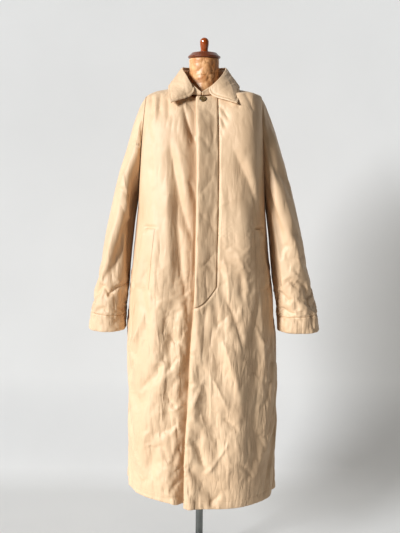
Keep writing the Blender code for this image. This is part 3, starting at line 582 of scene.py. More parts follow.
# the turn round the body, from the middle of the front, where the front has this x
def turnOfX(x, h):
    z = plainZ(h)
    half = np.where(x < 0, bodyColumn("right", z), bodyColumn("left", z))
    square = bodyColumn("square", z)
    across = np.clip(np.abs(x) / half, 0.0, 0.9999)
    return np.sign(x) * np.arctan2(across, (1 - across**square)**(1 / square))


# how boxy the body is above the chest: the power of its cosine and sine, rounder in front
def shoulderPower(forward):
    return 2 / (coat["boxy"] - coat["frontRounder"] * forward)


# The coat's outer face without creases: rings |x/a|^n + |y/b|^n = 1 up to the chest; above it the
# depth falls as a power of a cosine while the height climbs as a power of a sine.
def bodyPlain(turn, h):
    turn, h = np.broadcast_arrays(np.asarray(turn, float), np.asarray(h, float))
    z = plainZ(h)
    across, forward = np.sin(turn), np.cos(turn)
    half = np.where(across < 0, bodyColumn("right", z), bodyColumn("left", z))
    depth = np.where(forward > 0, bodyColumn("front", z), bodyColumn("back", z))
    square = bodyColumn("square", z)
    size = (np.abs(across)**square + np.abs(forward)**square)**(1 / square)
    x = half * across / size
    y = -depth * forward / size
    rise = np.clip((h - coat["chestShare"]) / (1 - coat["chestShare"]), 0.0, 1.0) * math.pi / 2
    power = shoulderPower(forward)
    y = y * np.where(h > coat["chestShare"], np.clip(np.cos(rise), 0, 1)**power, 1.0)
    top = coat["chestZ"] + (shoulderZ(x) - coat["chestZ"]) * np.clip(np.sin(rise), 0, 1)**power
    z = z + coat["hemRise"] * ease((-0.03 - x) / 0.12) * (1 - ease(h / 0.2))
    return np.stack([x, y, np.where(h > coat["chestShare"], top, z)], axis=-1)


def bodyNormal(turn, h, step=1e-3):
    h = np.clip(h, step, 1 - step)
    across = bodyPlain(turn + step, h) - bodyPlain(turn - step, h)
    up = bodyPlain(turn, h + step) - bodyPlain(turn, h - step)
    return unit(np.cross(across, up))


# the long folds: depth times exp(-(distance / half-width)^2), faded at both ends
def foldHeight(points, forward):
    x, z = points[..., 0], points[..., 2]
    height = np.zeros(x.shape)
    for side, x1, z1, x0, z0, width, depth in hangingFolds:
        along = (z1 - z) / (z1 - z0)
        away = x - (x1 + (x0 - x1) * along)
        fade = ease(along / 0.3) * ease((1.35 - along) / 0.5)
        facing = ease((forward if side == "front" else -forward) * 2.5)
        height += depth * bell(away, width) * fade * facing
    return height


def body(turn, h):
    turn, h = np.broadcast_arrays(np.asarray(turn, float), np.asarray(h, float))
    points = bodyPlain(turn, h)
    return points + bodyNormal(turn, h) * foldHeight(points, np.cos(turn))[..., None]


def armholeTurn(h):
    k = np.clip((h - underarmH) / (1 - underarmH), 0.0, 1.0)
    return math.pi / 2 - math.radians(coat["armholeTurn"]) * np.sqrt(1 - (1 - k)**3)


# how far a point is from the armhole's line, measured round the body
def armholeDistance(turn, h):
    fromSide = np.arccos(np.clip(np.abs(np.cos(turn)), 0, 1))
    return (armholeTurn(h) - fromSide) * coat["turnRadius"]


# how high a panel reaches at this turn: 1 at the shoulder seam, less in the round of the neck
def neckH(turn, neckZ):
    x = np.abs(bodyPlain(turn, coat["neckRow"])[..., 0])
    inside = np.clip(x / coat["neckX"], 0.0, 1.0)
    z = neckZ + (shoulderZ(coat["neckX"]) - neckZ) * (1 - np.sqrt(1 - inside**2))
    power = shoulderPower(np.cos(turn))
    share = np.clip((z - coat["chestZ"]) / (shoulderZ(x) - coat["chestZ"]), 0.0, 1.0)**(1 / power)
    reached = coat["chestShare"] + (1 - coat["chestShare"]) * np.arcsin(share) / (math.pi / 2)
    return np.where(x < coat["neckX"], reached, 1.0)


# the row at which the front has this height: the sine and its power undone
def hAt(z, x):
    share = np.clip((z - coat["chestZ"]) / (shoulderZ(x) - coat["chestZ"]), 0.0, 1.0)**1.1
    above = coat["chestShare"] + (1 - coat["chestShare"]) * np.arcsin(share) / (math.pi / 2)
    return np.where(z > coat["chestZ"], above, hOfZ(z))


# creases that show on the front: x1, z1, x0, z0, bow, half-width, depth, crispness
frontCreases = [
    # gathers under the right shoulder, and the ridge along the armhole
    (-0.151, 1.450, -0.151, 1.372, 0.002, 0.006, -0.0036, 1.4),
    (-0.123, 1.455, -0.124, 1.380, -0.002, 0.006, -0.0040, 1.4),
    (-0.104, 1.440, -0.101, 1.368, 0.002, 0.006, -0.0034, 1.4),
    (-0.137, 1.452, -0.139, 1.350, 0.002, 0.007, 0.0030, 1.8),
    (-0.158, 1.400, -0.180, 1.080, -0.004, 0.009, 0.0050, 1.6),
    # the right front beside the fly
    (-0.059, 1.420, -0.019, 1.300, -0.004, 0.009, -0.0095, 1.2),
    (-0.097, 1.330, -0.022, 1.010, -0.010, 0.013, -0.0115, 1.2),
    (-0.072, 1.330, -0.030, 1.120, -0.006, 0.011, 0.0040, 1.6),
    (-0.046, 1.215, -0.018, 1.145, 0.002, 0.006, -0.0038, 1.1),
    (-0.078, 1.210, -0.036, 0.800, -0.008, 0.017, -0.0105, 1.4),
    (-0.103, 1.230, -0.092, 0.900, 0.004, 0.015, 0.0055, 1.8),
    (-0.140, 1.120, -0.145, 0.820, 0.002, 0.014, 0.0045, 1.8),
    (-0.160, 0.840, -0.224, 0.680, 0.006, 0.010, 0.0080, 1.2),
    (-0.175, 0.760, -0.222, 0.600, 0.004, 0.010, -0.0050, 1.2),
    (-0.107, 0.870, -0.088, 0.650, 0.005, 0.017, -0.0085, 1.5),
    (-0.092, 0.680, -0.094, 0.470, -0.005, 0.015, -0.0070, 1.4),
    (-0.096, 0.500, -0.072, 0.260, 0.004, 0.016, -0.0060, 1.4),
    (-0.104, 0.764, -0.062, 0.733, 0.003, 0.008, -0.0055, 1.1),
    (-0.104, 0.652, -0.066, 0.703, -0.003, 0.008, -0.0055, 1.1),
    (-0.120, 0.592, -0.068, 0.537, 0.004, 0.010, -0.0060, 1.1),
    (-0.116, 0.468, -0.066, 0.502, -0.003, 0.009, -0.0055, 1.1),
    (-0.126, 0.445, -0.094, 0.370, 0.003, 0.009, -0.0040, 1.1),
    # above the welts' upper ends, and the shade behind the right one's free edge
    (-0.124, 1.0715, -0.172, 1.0700, 0.000, 0.0042, -0.0055, 1.4),
    (0.134, 1.0700, 0.180, 1.0710, 0.000, 0.0042, -0.0055, 1.4),
    (-0.164, 1.066, -0.206, 0.860, -0.002, 0.0070, -0.0065, 1.6),
    # the left front beside the fly and under the collar
    (0.036, 1.420, 0.072, 1.362, 0.004, 0.005, -0.0042, 1.1),
    (0.038, 1.392, 0.064, 1.342, 0.003, 0.005, -0.0036, 1.1),
    (0.040, 1.362, 0.054, 1.322, 0.002, 0.005, -0.0026, 1.1),
    (0.106, 1.445, 0.132, 1.385, 0.003, 0.006, -0.0034, 1.3),
    (0.085, 1.440, 0.096, 1.390, 0.002, 0.006, -0.0024, 1.3),
    (0.066, 1.320, 0.160, 1.030, 0.016, 0.013, -0.0075, 1.2),
    (0.150, 1.080, 0.196, 0.870, 0.006, 0.013, -0.0075, 1.2),
    (0.104, 1.290, 0.150, 1.110, 0.006, 0.014, 0.0040, 1.7),
    (0.050, 1.200, 0.066, 1.000, 0.004, 0.012, 0.0030, 1.7),
    # billows below the waist of the left front
    (0.086, 1.020, 0.132, 0.875, 0.006, 0.009, 0.0052, 1.2),
    (0.058, 1.000, 0.078, 0.852, 0.004, 0.008, 0.0045, 1.3),
    (0.102, 0.960, 0.116, 0.850, 0.004, 0.008, -0.0042, 1.2),
    (0.054, 0.765, 0.108, 0.588, 0.006, 0.011, 0.0080, 1.2),
    (0.066, 0.870, 0.118, 0.725, 0.009, 0.009, -0.0075, 1.1),
    (0.022, 0.662, -0.030, 0.530, -0.004, 0.010, 0.0075, 1.1),
    (0.020, 0.662, 0.080, 0.536, 0.005, 0.010, 0.0070, 1.1),
    (0.060, 0.528, 0.110, 0.482, 0.004, 0.008, -0.0075, 1.0),
    (-0.027, 0.475, 0.014, 0.368, 0.003, 0.008, -0.0062, 1.0),
    (0.088, 0.470, 0.014, 0.348, 0.004, 0.009, 0.0062, 1.1),
    (0.104, 0.398, 0.160, 0.324, 0.004, 0.008, -0.0050, 1.1),
    (0.028, 0.258, 0.064, 0.294, -0.002, 0.006, -0.0050, 1.1),
    (0.138, 0.812, 0.186, 0.700, 0.006, 0.010, 0.0068, 1.1),
    (0.162, 0.485, 0.214, 0.325, 0.006, 0.010, -0.0058, 1.1),
    (0.180, 0.640, 0.208, 0.510, 0.004, 0.009, -0.0050, 1.1),
]

# creases of the back, of the same kinds
backCreases = [
    (-0.140, 1.440, -0.120, 1.320, 0.004, 0.009, -0.0040, 1.3),
    (0.130, 1.440, 0.150, 1.330, -0.004, 0.009, -0.0036, 1.3),
    (-0.060, 1.330, -0.120, 1.060, -0.012, 0.014, -0.0070, 1.2),
    (0.045, 1.300, 0.120, 1.020, 0.010, 0.014, -0.0066, 1.2),
    (0.000, 1.240, -0.018, 0.960, 0.004, 0.016, -0.0050, 1.5),
    (-0.150, 1.050, -0.190, 0.840, 0.006, 0.012, -0.0060, 1.2),
    (0.160, 1.020, 0.190, 0.850, -0.006, 0.012, -0.0060, 1.2),
    (-0.090, 0.960, -0.050, 0.800, 0.006, 0.010, 0.0060, 1.2),
    (0.060, 0.900, 0.120, 0.740, 0.006, 0.010, 0.0066, 1.2),
    (0.010, 0.780, 0.070, 0.640, 0.005, 0.010, 0.0070, 1.1),
    (0.010, 0.780, -0.050, 0.620, -0.005, 0.010, 0.0066, 1.1),
    (-0.120, 0.700, -0.070, 0.560, 0.005, 0.010, -0.0062, 1.1),
    (-0.150, 0.560, -0.190, 0.420, 0.005, 0.010, 0.0060, 1.1),
    (0.090, 0.560, 0.150, 0.440, 0.004, 0.009, -0.0062, 1.1),
    (0.000, 0.520, 0.050, 0.400, 0.004, 0.009, 0.0060, 1.1),
    (-0.080, 0.460, -0.030, 0.330, 0.004, 0.009, -0.0056, 1.1),
    (0.170, 0.420, 0.200, 0.300, 0.004, 0.009, 0.0050, 1.1),
]

# How much the cloth is crumpled: scattered creases, and puffs of three sizes (width, height of a
# cell, and depth). The skirt is crumpled most: the upper part has a share of the puffs' depth, up
# from topZ less over.
crumple = dict(
    upper=scatterCreases(11, 70, area=(-0.32, 0.95, 0.95, 1.42), length=(0.05, 0.16),
                         width=(0.006, 0.013), depth=(0.0006, 0.0018), lean=16),
    lower=scatterCreases(12, 230, area=(-0.32, 0.95, 0.27, 0.97), length=(0.04, 0.14),
                         width=(0.005, 0.011), depth=(0.0010, 0.0030), lean=28),
    puffs=[((0.075, 0.170), 0.0032, 3), ((0.034, 0.078), 0.0022, 4), ((0.017, 0.038), 0.0009, 5)],
    warp=0.014, warpSize=0.11, upperShare=0.22, topZ=1.02, over=0.35,
)

# seams: how far they quieten the relief, how deep and wide they dip, and their puckers
sewing = dict(
    sideQuiet=0.014, quieting=0.8, armholeQuiet=0.035, neckQuiet=0.035,
    dip=0.0016, pucker=0.0010, puckerStep=0.018, dipWidth=0.004,
)

hem = dict(
    stitchUp=0.026, stitchDepth=0.0010, stitchWidth=0.0032,
    gather=0.0022, gatherStep=0.016, gatherUp=0.012, gatherWidth=0.022,
)


# All the finer relief of the body: listed creases, scattered ones and puffs. It dies out at the
# armholes, the shoulders and the neck, and dips along the side seams and the hem's stitching.
def bodyRelief(points, turn, h):
    x, z = points[..., 0], points[..., 2]
    forward = np.cos(turn)
    height = creaseHeight(x, z, frontCreases) * ease(forward * 2.5)
    height += creaseHeight(x, z, backCreases) * ease(-forward * 2.5)
    around = turn * coat["turnRadius"]
    height += creaseHeight(around, z, np.concatenate([crumple["upper"], crumple["lower"]]))
    least = crumple["upperShare"]
    share = least + (1 - least) * below(z, crumple["topZ"], crumple["over"])
    bend = cloudNoise(points / crumple["warpSize"], 21) * crumple["warp"]
    for size, depth, seed in crumple["puffs"]:
        height += share * depth * pillows(around + bend, z + 0.6 * bend, size, seed)
    sewn = h < underarmH
    toSide = np.where(sewn, np.abs(forward) * coat["turnRadius"], armholeDistance(turn, h))
    quiet = np.where(sewn, 1 - sewing["quieting"] * bell(toSide, sewing["sideQuiet"]),
                     ease(toSide / sewing["armholeQuiet"]))
    top = neckH(turn, np.where(forward > 0, coat["frontNeckZ"], coat["backNeckZ"]))
    height *= quiet * ease((top - h) / sewing["neckQuiet"])
    pucker = cloudNoise(np.stack([z / sewing["puckerStep"], 0 * z, turn], axis=-1), 31)
    height -= (sewing["dip"] + sewing["pucker"] * pucker) * bell(toSide, sewing["dipWidth"]) * sewn
    hemUp = z - coat["hemZ"]
    gather = cloudNoise(np.stack([around / hem["gatherStep"], 0 * z, 0 * z + 7.0], axis=-1), 32)
    height += hem["gather"] * gather * bell(hemUp - hem["gatherUp"], hem["gatherWidth"])
    height -= hem["stitchDepth"] * bell(hemUp - hem["stitchUp"], hem["stitchWidth"])
    return height


# The fly, and how the left front lies round it: the front rises to the fly's level beyond its
# seam and then in a broad ridge, and its edge stands out, less in the skirt, where it is tucked in.
fly = dict(
    width=0.062, topZ=1.4385, lineEndZ=0.905, endZ=0.846, power=1.8, wall=0.0042,
    raised=0.0052, riseOver=0.004, groove=0.008, fadeTopZ=1.455, fadeTopOver=0.02,
    wrapRadius=0.0064, wrapWall=0.0020, wrapDegrees=115, inset=0.0022, insetZ=0.84, stitchIn=0.0065,
    seamRoll=0.0045, endRoll=0.004, thinShare=0.22,
    puff=0.0180, puffStart=0.006, puffRise=0.090, puffEnd=0.145, puffFall=0.055, puffZ=0.82,
    puffOver=0.25,
    stand=0.021, standWidth=0.041, standTopZ=1.418, standOver=0.07,
    skirtZ=0.87, skirtOver=0.06, lessLow=0.012, lowMiddle=0.010, narrowLow=0.017,
    tuck=0.0060, tuckWidth=0.007,
)


# how far outside the fly's outline a point of the left front is: past its long seam, or below its
# slanting end, which falls as a power of the way to the edge
def pastFly(points):
    across = points[..., 0] - edgeX(points[..., 2])
    share = np.clip(across / fly["width"], 0.0, 1.0)**fly["power"]
    endZ = fly["endZ"] + (fly["lineEndZ"] - fly["endZ"]) * share
    return np.maximum(across - fly["width"], (endZ - points[..., 2]) * 0.8), across


# the left front rises to the fly's level beyond its seam, and then puffs up in a broad ridge
def flyRaise(points, h):
    past, across = pastFly(points)
    z = points[..., 2]
    far = 1 - 0.8 * ease((across - 0.12) / 0.12)
    near = 0.3 + 0.7 * ease(past / fly["groove"])
    ridge = ease((across - fly["width"] + fly["puffStart"]) / fly["puffRise"])
    ridge = ridge * (1 - ease((across - fly["puffEnd"]) / fly["puffFall"]))
    ridge = ridge * fly["puff"] * ease((z - fly["puffZ"]) / fly["puffOver"])
    raised = fly["raised"] * ease(past / fly["riseOver"]) * near * far
    return (raised + ridge) * below(z, fly["fadeTopZ"], fly["fadeTopOver"])


# points and normals of the cloth at a turn and row, with its relief; the left front's edge stands
# out from the right front where stand is 1
def settledCloth(turn, h, stand=0.0):
    points, normals = body(turn, h), bodyNormal(turn, h)
    z = points[..., 2]
    across = points[..., 0] - edgeX(z)
    skirt = below(z, fly["skirtZ"], fly["skirtOver"])
    proud = stand * (fly["stand"] - fly["lessLow"] * skirt)
    width = fly["standWidth"] - fly["narrowLow"] * skirt
    proud = proud * bell(across - fly["lowMiddle"] * skirt, width)
    proud -= stand * fly["tuck"] * skirt * np.exp(-across / fly["tuckWidth"])
    proud = proud * below(z, fly["standTopZ"], fly["standOver"])
    return points + normals * (bodyRelief(points, turn, h) + proud)[..., None], normals


fineH = np.linspace(0.0, 1.0, 4000)
middleLine = bodyPlain(np.full(4000, 0.6), fineH)
lineLength = np.concatenate([[0.0], np.cumsum(np.linalg.norm(np.diff(middleLine, axis=0), axis=1))])


def edgeTurn(h, inset=0.0):
    return turnOfX(edgeX(plainZ(h)) + inset, h)


def sideTurn(h):
    return np.where(h <= underarmH, math.pi / 2, armholeTurn(h)) - coat["seamGap"] / 0.19


# how the right front runs under the left one: a broad ditch, deeper in the skirt, and a groove
underlap = dict(
    width=0.055, over=0.035, depth=0.0022,
    ditch=0.003, ditchAside=0.003, ditchWidth=0.024, ditchTopZ=1.41, ditchOver=0.06,
    deeper=0.008, deeperZ=1.0, deeperOver=0.15,
    groove=0.0075, grooveAside=0.001, grooveWidth=0.0060, grooveTopZ=1.22, grooveOver=0.12,
)


# the right front sinks by its own wall under the left front's edge, with the ditch and the groove
def underStep(points, h):
    z = points[..., 2]
    across = points[..., 0] - edgeX(z)
    under = ease(across / underlap["over"] + 1.0)
    ditch = underlap["deeper"] * below(z, underlap["deeperZ"], underlap["deeperOver"])
    ditch = underlap["ditch"] + ditch
    ditch = ditch * bell(across + underlap["ditchAside"], underlap["ditchWidth"])
    ditch = ditch * below(z, underlap["ditchTopZ"], underlap["ditchOver"])
    groove = underlap["groove"] * bell(across - underlap["grooveAside"], underlap["grooveWidth"])
    groove = groove * below(z, underlap["grooveTopZ"], underlap["grooveOver"])
    return -under * (coat["wall"] + underlap["depth"]) - (ditch + groove)


# Slanting pocket welts: front and free edges (x at the top and at the bottom), by side. The free
# edge faces the side seam and gapes a little. The front edge and the bottom thin to a share of
# the wall.
welt = dict(
    topZ=1.066, length=0.175, width=0.036, wall=0.0036, gap=0.0005, gape=0.0075, gapeEnds=0.12,
    stitchIn=0.0045, step=0.0035, fineStep=0.0025, roll=0.004, edgeRoll=0.002,
    thinFront=0.12, thinFrontOver=0.6, thinBottom=0.3, thinBottomOver=0.25,
    right=dict(front=(-0.132, -0.150), free=(-0.161, -0.196)),
    left=dict(front=(0.141, 0.158), free=(0.166, 0.196)),
)

# the three panels of the body: first and last lines of turn, the neck's height, how much the front
# edge stands out, the lift of the outer face over the body, the height above which the cloth hangs
# calm, the columns that are seams, and how far each edge is rolled
panels = dict(
    frontLeft=dict(
        first=lambda h: edgeTurn(h, fly["inset"] * ease((plainZ(h) - fly["insetZ"]) / 0.01)),
        last=sideTurn, width=0.29, neckZ=coat["frontNeckZ"], stand=1.0, lift=flyRaise,
        calmZ=1.02, seams=[-1], edges={"bottom": 1.0, "top": 0.4, "start": 1.0, "end": 0.3}),
    frontRight=dict(
        first=lambda h: -sideTurn(h), last=lambda h: edgeTurn(h, underlap["width"]),
        width=0.29, neckZ=coat["frontNeckZ"], stand=0.0, lift=underStep,
        calmZ=0.90, seams=[0], edges={"bottom": 1.0, "top": 0.4, "start": 0.3, "end": 1.0}),
    backPanel=dict(
        first=lambda h: math.pi - sideTurn(h), last=lambda h: math.pi + sideTurn(h),
        width=0.58, neckZ=coat["backNeckZ"], stand=0.0, lift=None,
        calmZ=1.02, seams=[0, -1], edges={"bottom": 1.0, "top": 0.4, "start": 0.3, "end": 0.3}),
)


# a panel's outer face at distances up from the hem and shares across: its points and normals, its
# lift, and the turn and h of every point
def panelFace(panel, distances, shares):
    rows = np.interp(distances, lineLength, fineH)[:, None]
    turn = panel["first"](rows) + (panel["last"](rows) - panel["first"](rows)) * shares[None, :]
    bend = coat["bendShare"]
    top = neckH(turn[-1:], panel["neckZ"])
    h = np.where(rows > bend, bend + (top - bend) * (rows - bend) / (1 - bend), rows)
    points, normals = settledCloth(turn, h, panel["stand"])
    lift = panel["lift"](points, h) if panel["lift"] else np.zeros(h.shape)
    return points + normals * lift[..., None], normals, lift, turn, h


# A panel's coarse grid, how firmly each point is held, and how much it grows: firmly along its
# seams, under the fly and the welts, and where the other front covers it; most growth in the skirt.
def panelSettling(name, panel):
    distances = np.linspace(0.0, lineLength[-1], int(lineLength[-1] / settle["step"]))
    shares = np.linspace(0.0, 1.0, int(panel["width"] / settle["step"]))
    points, normals, lift, turn, h = panelFace(panel, distances, shares)
    x, z = points[..., 0], points[..., 2]
    forward = np.cos(turn) > 0
    firm = ease((z - panel["calmZ"] + settle["firmLead"]) / settle["firmOver"])
    hold = settle["light"] + (1 - settle["light"]) * firm
    if name == "frontLeft":
        hold = np.where(pastFly(points)[0] < settle["margin"], 1.0, hold)
        hold[:, :2] = np.maximum(hold[:, :2], settle["edge"])
    if name == "frontRight":
        hold = np.where(x - edgeX(z) > -settle["underMargin"], 1.0, hold)
    down = (welt["topZ"] - z) / welt["length"]
    for side in (welt["left"], welt["right"]):
        front, free = (side[edge][0] + (side[edge][1] - side[edge][0]) * down
                       for edge in ("front", "free"))
        inside = x > np.minimum(front, free) - settle["margin"]
        inside &= (x < np.maximum(front, free) + settle["margin"]) & (down > -0.03) & (down < 1.03)
        hold = np.where(inside & forward, 1.0, hold)
    atArmhole = (h > underarmH - 0.01) & (armholeDistance(turn, h) < settle["armholeMargin"])
    hold = np.where(atArmhole, 1.0, hold)
    hold[-2:] = 1.0
    for column in panel["seams"]:
        hold[:, column] = 1.0
    low = below(z, panel["calmZ"], settle["growOver"])
    calm = ease((settle["calmX"] - x) / 0.03) * ease((z - settle["calmLowZ"]) / 0.10)
    calm = 1 - settle["calming"] * calm * forward
    return dict(points=points, hold=hold, grow=low * calm, closed=False)


# the finished panel: the fine face moved as the coarse one settled, and given its wall
def makePanel(name, panel, moved, node):
    distances = rolledSteps(lineLength[-1], coat["step"], coat["roll"])
    shares = panel["shares"]
    points, normals, lift, turn, h = panelFace(panel, distances, shares)
    rows, columns = moved.shape[:2]
    shift = readGrid(moved, distances / lineLength[-1] * (rows - 1), shares * (columns - 1))
    points = points + shift
    seam = h > 1 - 1e-9
    points[..., 1] = np.where(seam, -np.sign(np.cos(turn)) * coat["seamGap"] / 2, points[..., 1])
    normals[..., 1] = np.where(seam, 0.0, normals[..., 1])
    normals = unit(normals)
    piece = clothWall(name, points, normals, coat["wall"] + np.maximum(lift, 0.0), coat["roll"],
                      panel["edges"], cloth)
    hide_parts(node)
    stitchLines[name] = [lineOn(points, normals, hem["stitchUp"])]
    return piece


# each panel's columns, as shares of its width: the left front has more beside the fly's seam
for name, step in (("frontRight", coat["step"]), ("backPanel", coat["backStep"])):
    width = panels[name]["width"]
    panels[name]["shares"] = rolledSteps(width, step, coat["roll"]) / width
sideShares = panels["frontRight"]["shares"]
panels["frontLeft"]["shares"] = np.concatenate([
    sideShares[:10], np.linspace(sideShares[10], 0.19, 10), np.linspace(0.197, 0.30, 16),
    np.linspace(0.312, sideShares[-7], 52), sideShares[-6:]])

# diagonal troughs and two ridges on the fly: rows as for the other creases
flyCreases = [
    (0.000, 1.405, 0.034, 1.372, 0.002, 0.005, -0.0018, 1.3),
    (-0.012, 1.330, 0.030, 1.270, 0.003, 0.008, -0.0022, 1.3),
    (0.030, 1.225, -0.010, 1.165, 0.003, 0.007, -0.0018, 1.3),
    (-0.014, 1.120, 0.036, 1.060, 0.003, 0.008, -0.0022, 1.3),
    (0.038, 1.010, -0.008, 0.955, 0.003, 0.007, -0.0020, 1.3),
    (-0.012, 0.930, 0.030, 0.885, 0.003, 0.007, -0.0018, 1.3),
    (0.014, 1.400, 0.012, 1.180, 0.003, 0.010, 0.0012, 1.7),
    (0.016, 1.150, 0.010, 0.930, -0.003, 0.010, 0.0014, 1.7),
]


# The fly lies on the left front from its seam to the edge, and wraps round the edge on part of a
# circle. It thins to its stitched edge near the seam and at both ends, by a quarter circle.
def makeFly():
    seamRoll = fly["seamRoll"]
    across = np.concatenate([
        fly["width"] - seamRoll * (1 - np.cos(np.linspace(0.0, math.pi / 2, 6)))[:-1],
        np.linspace(fly["width"] - seamRoll, fly["wrapRadius"], 18)])
    slant = np.clip(across / fly["width"], 0.0, 1.0)**fly["power"]
    low = fly["endZ"] + (fly["lineEndZ"] - fly["endZ"]) * slant
    steps = rolledSteps(1.0, 0.0055, 0.008)[:, None]
    z = low[None, :] + (fly["topZ"] - low[None, :]) * steps
    x = edgeX(z) + across[None, :]
    h = hAt(z, x)
    points, normals = settledCloth(turnOfX(x, h), h, 1.0)
    relief = creaseHeight(x, z, flyCreases)
    bend = cloudNoise(points / 0.05, 41) * 0.006
    relief += 0.0009 * pillows(x + bend, z + bend, (0.022, 0.040), 42)
    seat = points + normals * coat["layGap"]
    tangent = unit(np.gradient(points, axis=1))
    tangent = unit(tangent - normals * np.sum(tangent * normals, axis=-1, keepdims=True))
    near = np.clip((fly["width"] - across) / seamRoll, 0.0, 1.0)
    thin = np.sqrt(1 - (1 - near)**2)[None, :]
    ends = np.minimum(steps, 1 - steps) * (fly["topZ"] - fly["endZ"]) / fly["endRoll"]
    ends = np.clip(ends, 0.0, 1.0)
    thin = fly["thinShare"] + (1 - fly["thinShare"]) * np.minimum(thin, np.sqrt(1 - (1 - ends)**2))
    outer = seat + normals * ((fly["wall"] + relief * near[None, :]) * thin)[..., None]
    angle = np.linspace(0.0, math.radians(fly["wrapDegrees"]), 12)[1:]
    radius = fly["wrapRadius"]
    start, startNormal = seat[:, -1:], normals[:, -1:]
    centre = start + startNormal * ((fly["wall"] * thin[:, -1:])[..., None] - radius)
    c, s = np.cos(angle)[None, :, None], np.sin(angle)[None, :, None]
    turned = startNormal * c + tangent[:, -1:] * s
    wrapOuter = centre + turned * radius
    wrapInner = centre + turned * (radius - fly["wrapWall"])
    outer = np.concatenate([outer, wrapOuter], axis=1)[:, ::-1]
    inner = np.concatenate([seat, wrapInner], axis=1)[:, ::-1]
    piece = makeWall("flyStrip", outer, inner, *gridLengths(outer), cloth)
    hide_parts("fly")
    across = np.swapaxes(outer, 0, 1), np.swapaxes(surfaceNormals(outer), 0, 1)
    stitchLines["flyStrip"] = [lineOn(*across, fly["stitchIn"], fromEnd=True)]
    return piece


# a welt: a strip on the settled cloth between its two edges, on its own wall and standing away at
# its free edge by the square of the way across
def makeWelt(name, node, side, outwards):
    down = rolledSteps(welt["length"], welt["step"], welt["roll"])[::-1, None] / welt["length"]
    share = rolledSteps(welt["width"], welt["fineStep"], welt["roll"])[None, :] / welt["width"]
    frontX, freeX = (side[edge][0] + (side[edge][1] - side[edge][0]) * down
                     for edge in ("front", "free"))
    share = share if outwards > 0 else share[:, ::-1]
    x = frontX + (freeX - frontX) * share
    z = welt["topZ"] - welt["length"] * down + 0 * x
    h = hAt(z, x)
    points, normals = settledCloth(turnOfX(x, h), h)
    lift = flyRaise(points, h) if outwards > 0 else underStep(points, h)
    ends = ease(np.minimum(down, 1 - down) / welt["gapeEnds"])
    front, bottom = welt["thinFront"], welt["thinBottom"]
    thick = welt["wall"] * (front + (1 - front) * ease(share / welt["thinFrontOver"]))
    thick = thick * (bottom + (1 - bottom) * ease((1 - down) / welt["thinBottomOver"]))
    height = welt["gap"] + thick + lift + welt["gape"] * share**2 * ends
    points = points + normals * height[..., None]
    piece = clothWall(name, points, normals, thick, welt["edgeRoll"],
                      {"bottom": 0.5, "top": 0.5, "start": 0.5, "end": 0.5}, cloth)
    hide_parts(node)
    stitchLines[name] = [lineOn(points, normals, welt["stitchIn"], fromEnd)
                         for fromEnd in (False, True)]
    return piece


# A sleeve's rings from the armhole to the wrist: outer and inner points, half-depth, and how far
# forward it hangs; x counts outwards.
sleeves = dict(
    left=dict(
        outerX=[0.168, 0.193, 0.221, 0.249, 0.277, 0.302, 0.322, 0.339, 0.349, 0.356],
        outerZ=[1.441, 1.388, 1.308, 1.222, 1.132, 1.035, 0.945, 0.853, 0.800, 0.757],
        innerX=[0.182, 0.188, 0.1935, 0.1985, 0.2030, 0.2090, 0.2165, 0.2245, 0.2275, 0.2295]),
    right=dict(
        outerX=[0.169, 0.195, 0.222, 0.246, 0.268, 0.289, 0.309, 0.328, 0.335, 0.339],
        outerZ=[1.441, 1.390, 1.312, 1.232, 1.145, 1.055, 0.965, 0.862, 0.800, 0.757],
        innerX=[0.190, 0.195, 0.2005, 0.2055, 0.2105, 0.2160, 0.2215, 0.2255, 0.2275, 0.2285]),
    innerZ=[1.165, 1.128, 1.088, 1.040, 0.990, 0.935, 0.880, 0.833, 0.795, 0.757],
    depth=[0.078, 0.079, 0.079, 0.078, 0.076, 0.073, 0.069, 0.064, 0.061, 0.059],
    forward=[0.000, 0.000, 0.001, 0.003, 0.006, 0.010, 0.015, 0.021, 0.024, 0.027],
    cuffShare=0.865, seamShare=0.0009, ovalBy=0.35, roundRadius=0.07, length=0.69,
    fine=64, coarse=32, step=0.0052, cuffStep=0.0045, cuffRoll=0.010, cuffWall=0.001,
    stitchIn=0.006,
)

# how a sleeve is crumpled: puffs of three sizes, fewer near the top, and gathers at the cuff
sleeveCloth = dict(
    behind=0.8, behindUp=0.045, warp=0.012, warpSize=0.09, topShare=0.45,
    puffs=[((0.060, 0.130), 0.0036, 1), ((0.028, 0.055), 0.0015, 2), ((0.014, 0.026), 0.0005, 3)],
    gather=0.0030, gatherStep=0.013, gatherLength=0.06, gatherWidth=0.022,
    seamDip=0.0014, seamWidth=0.0040,
)

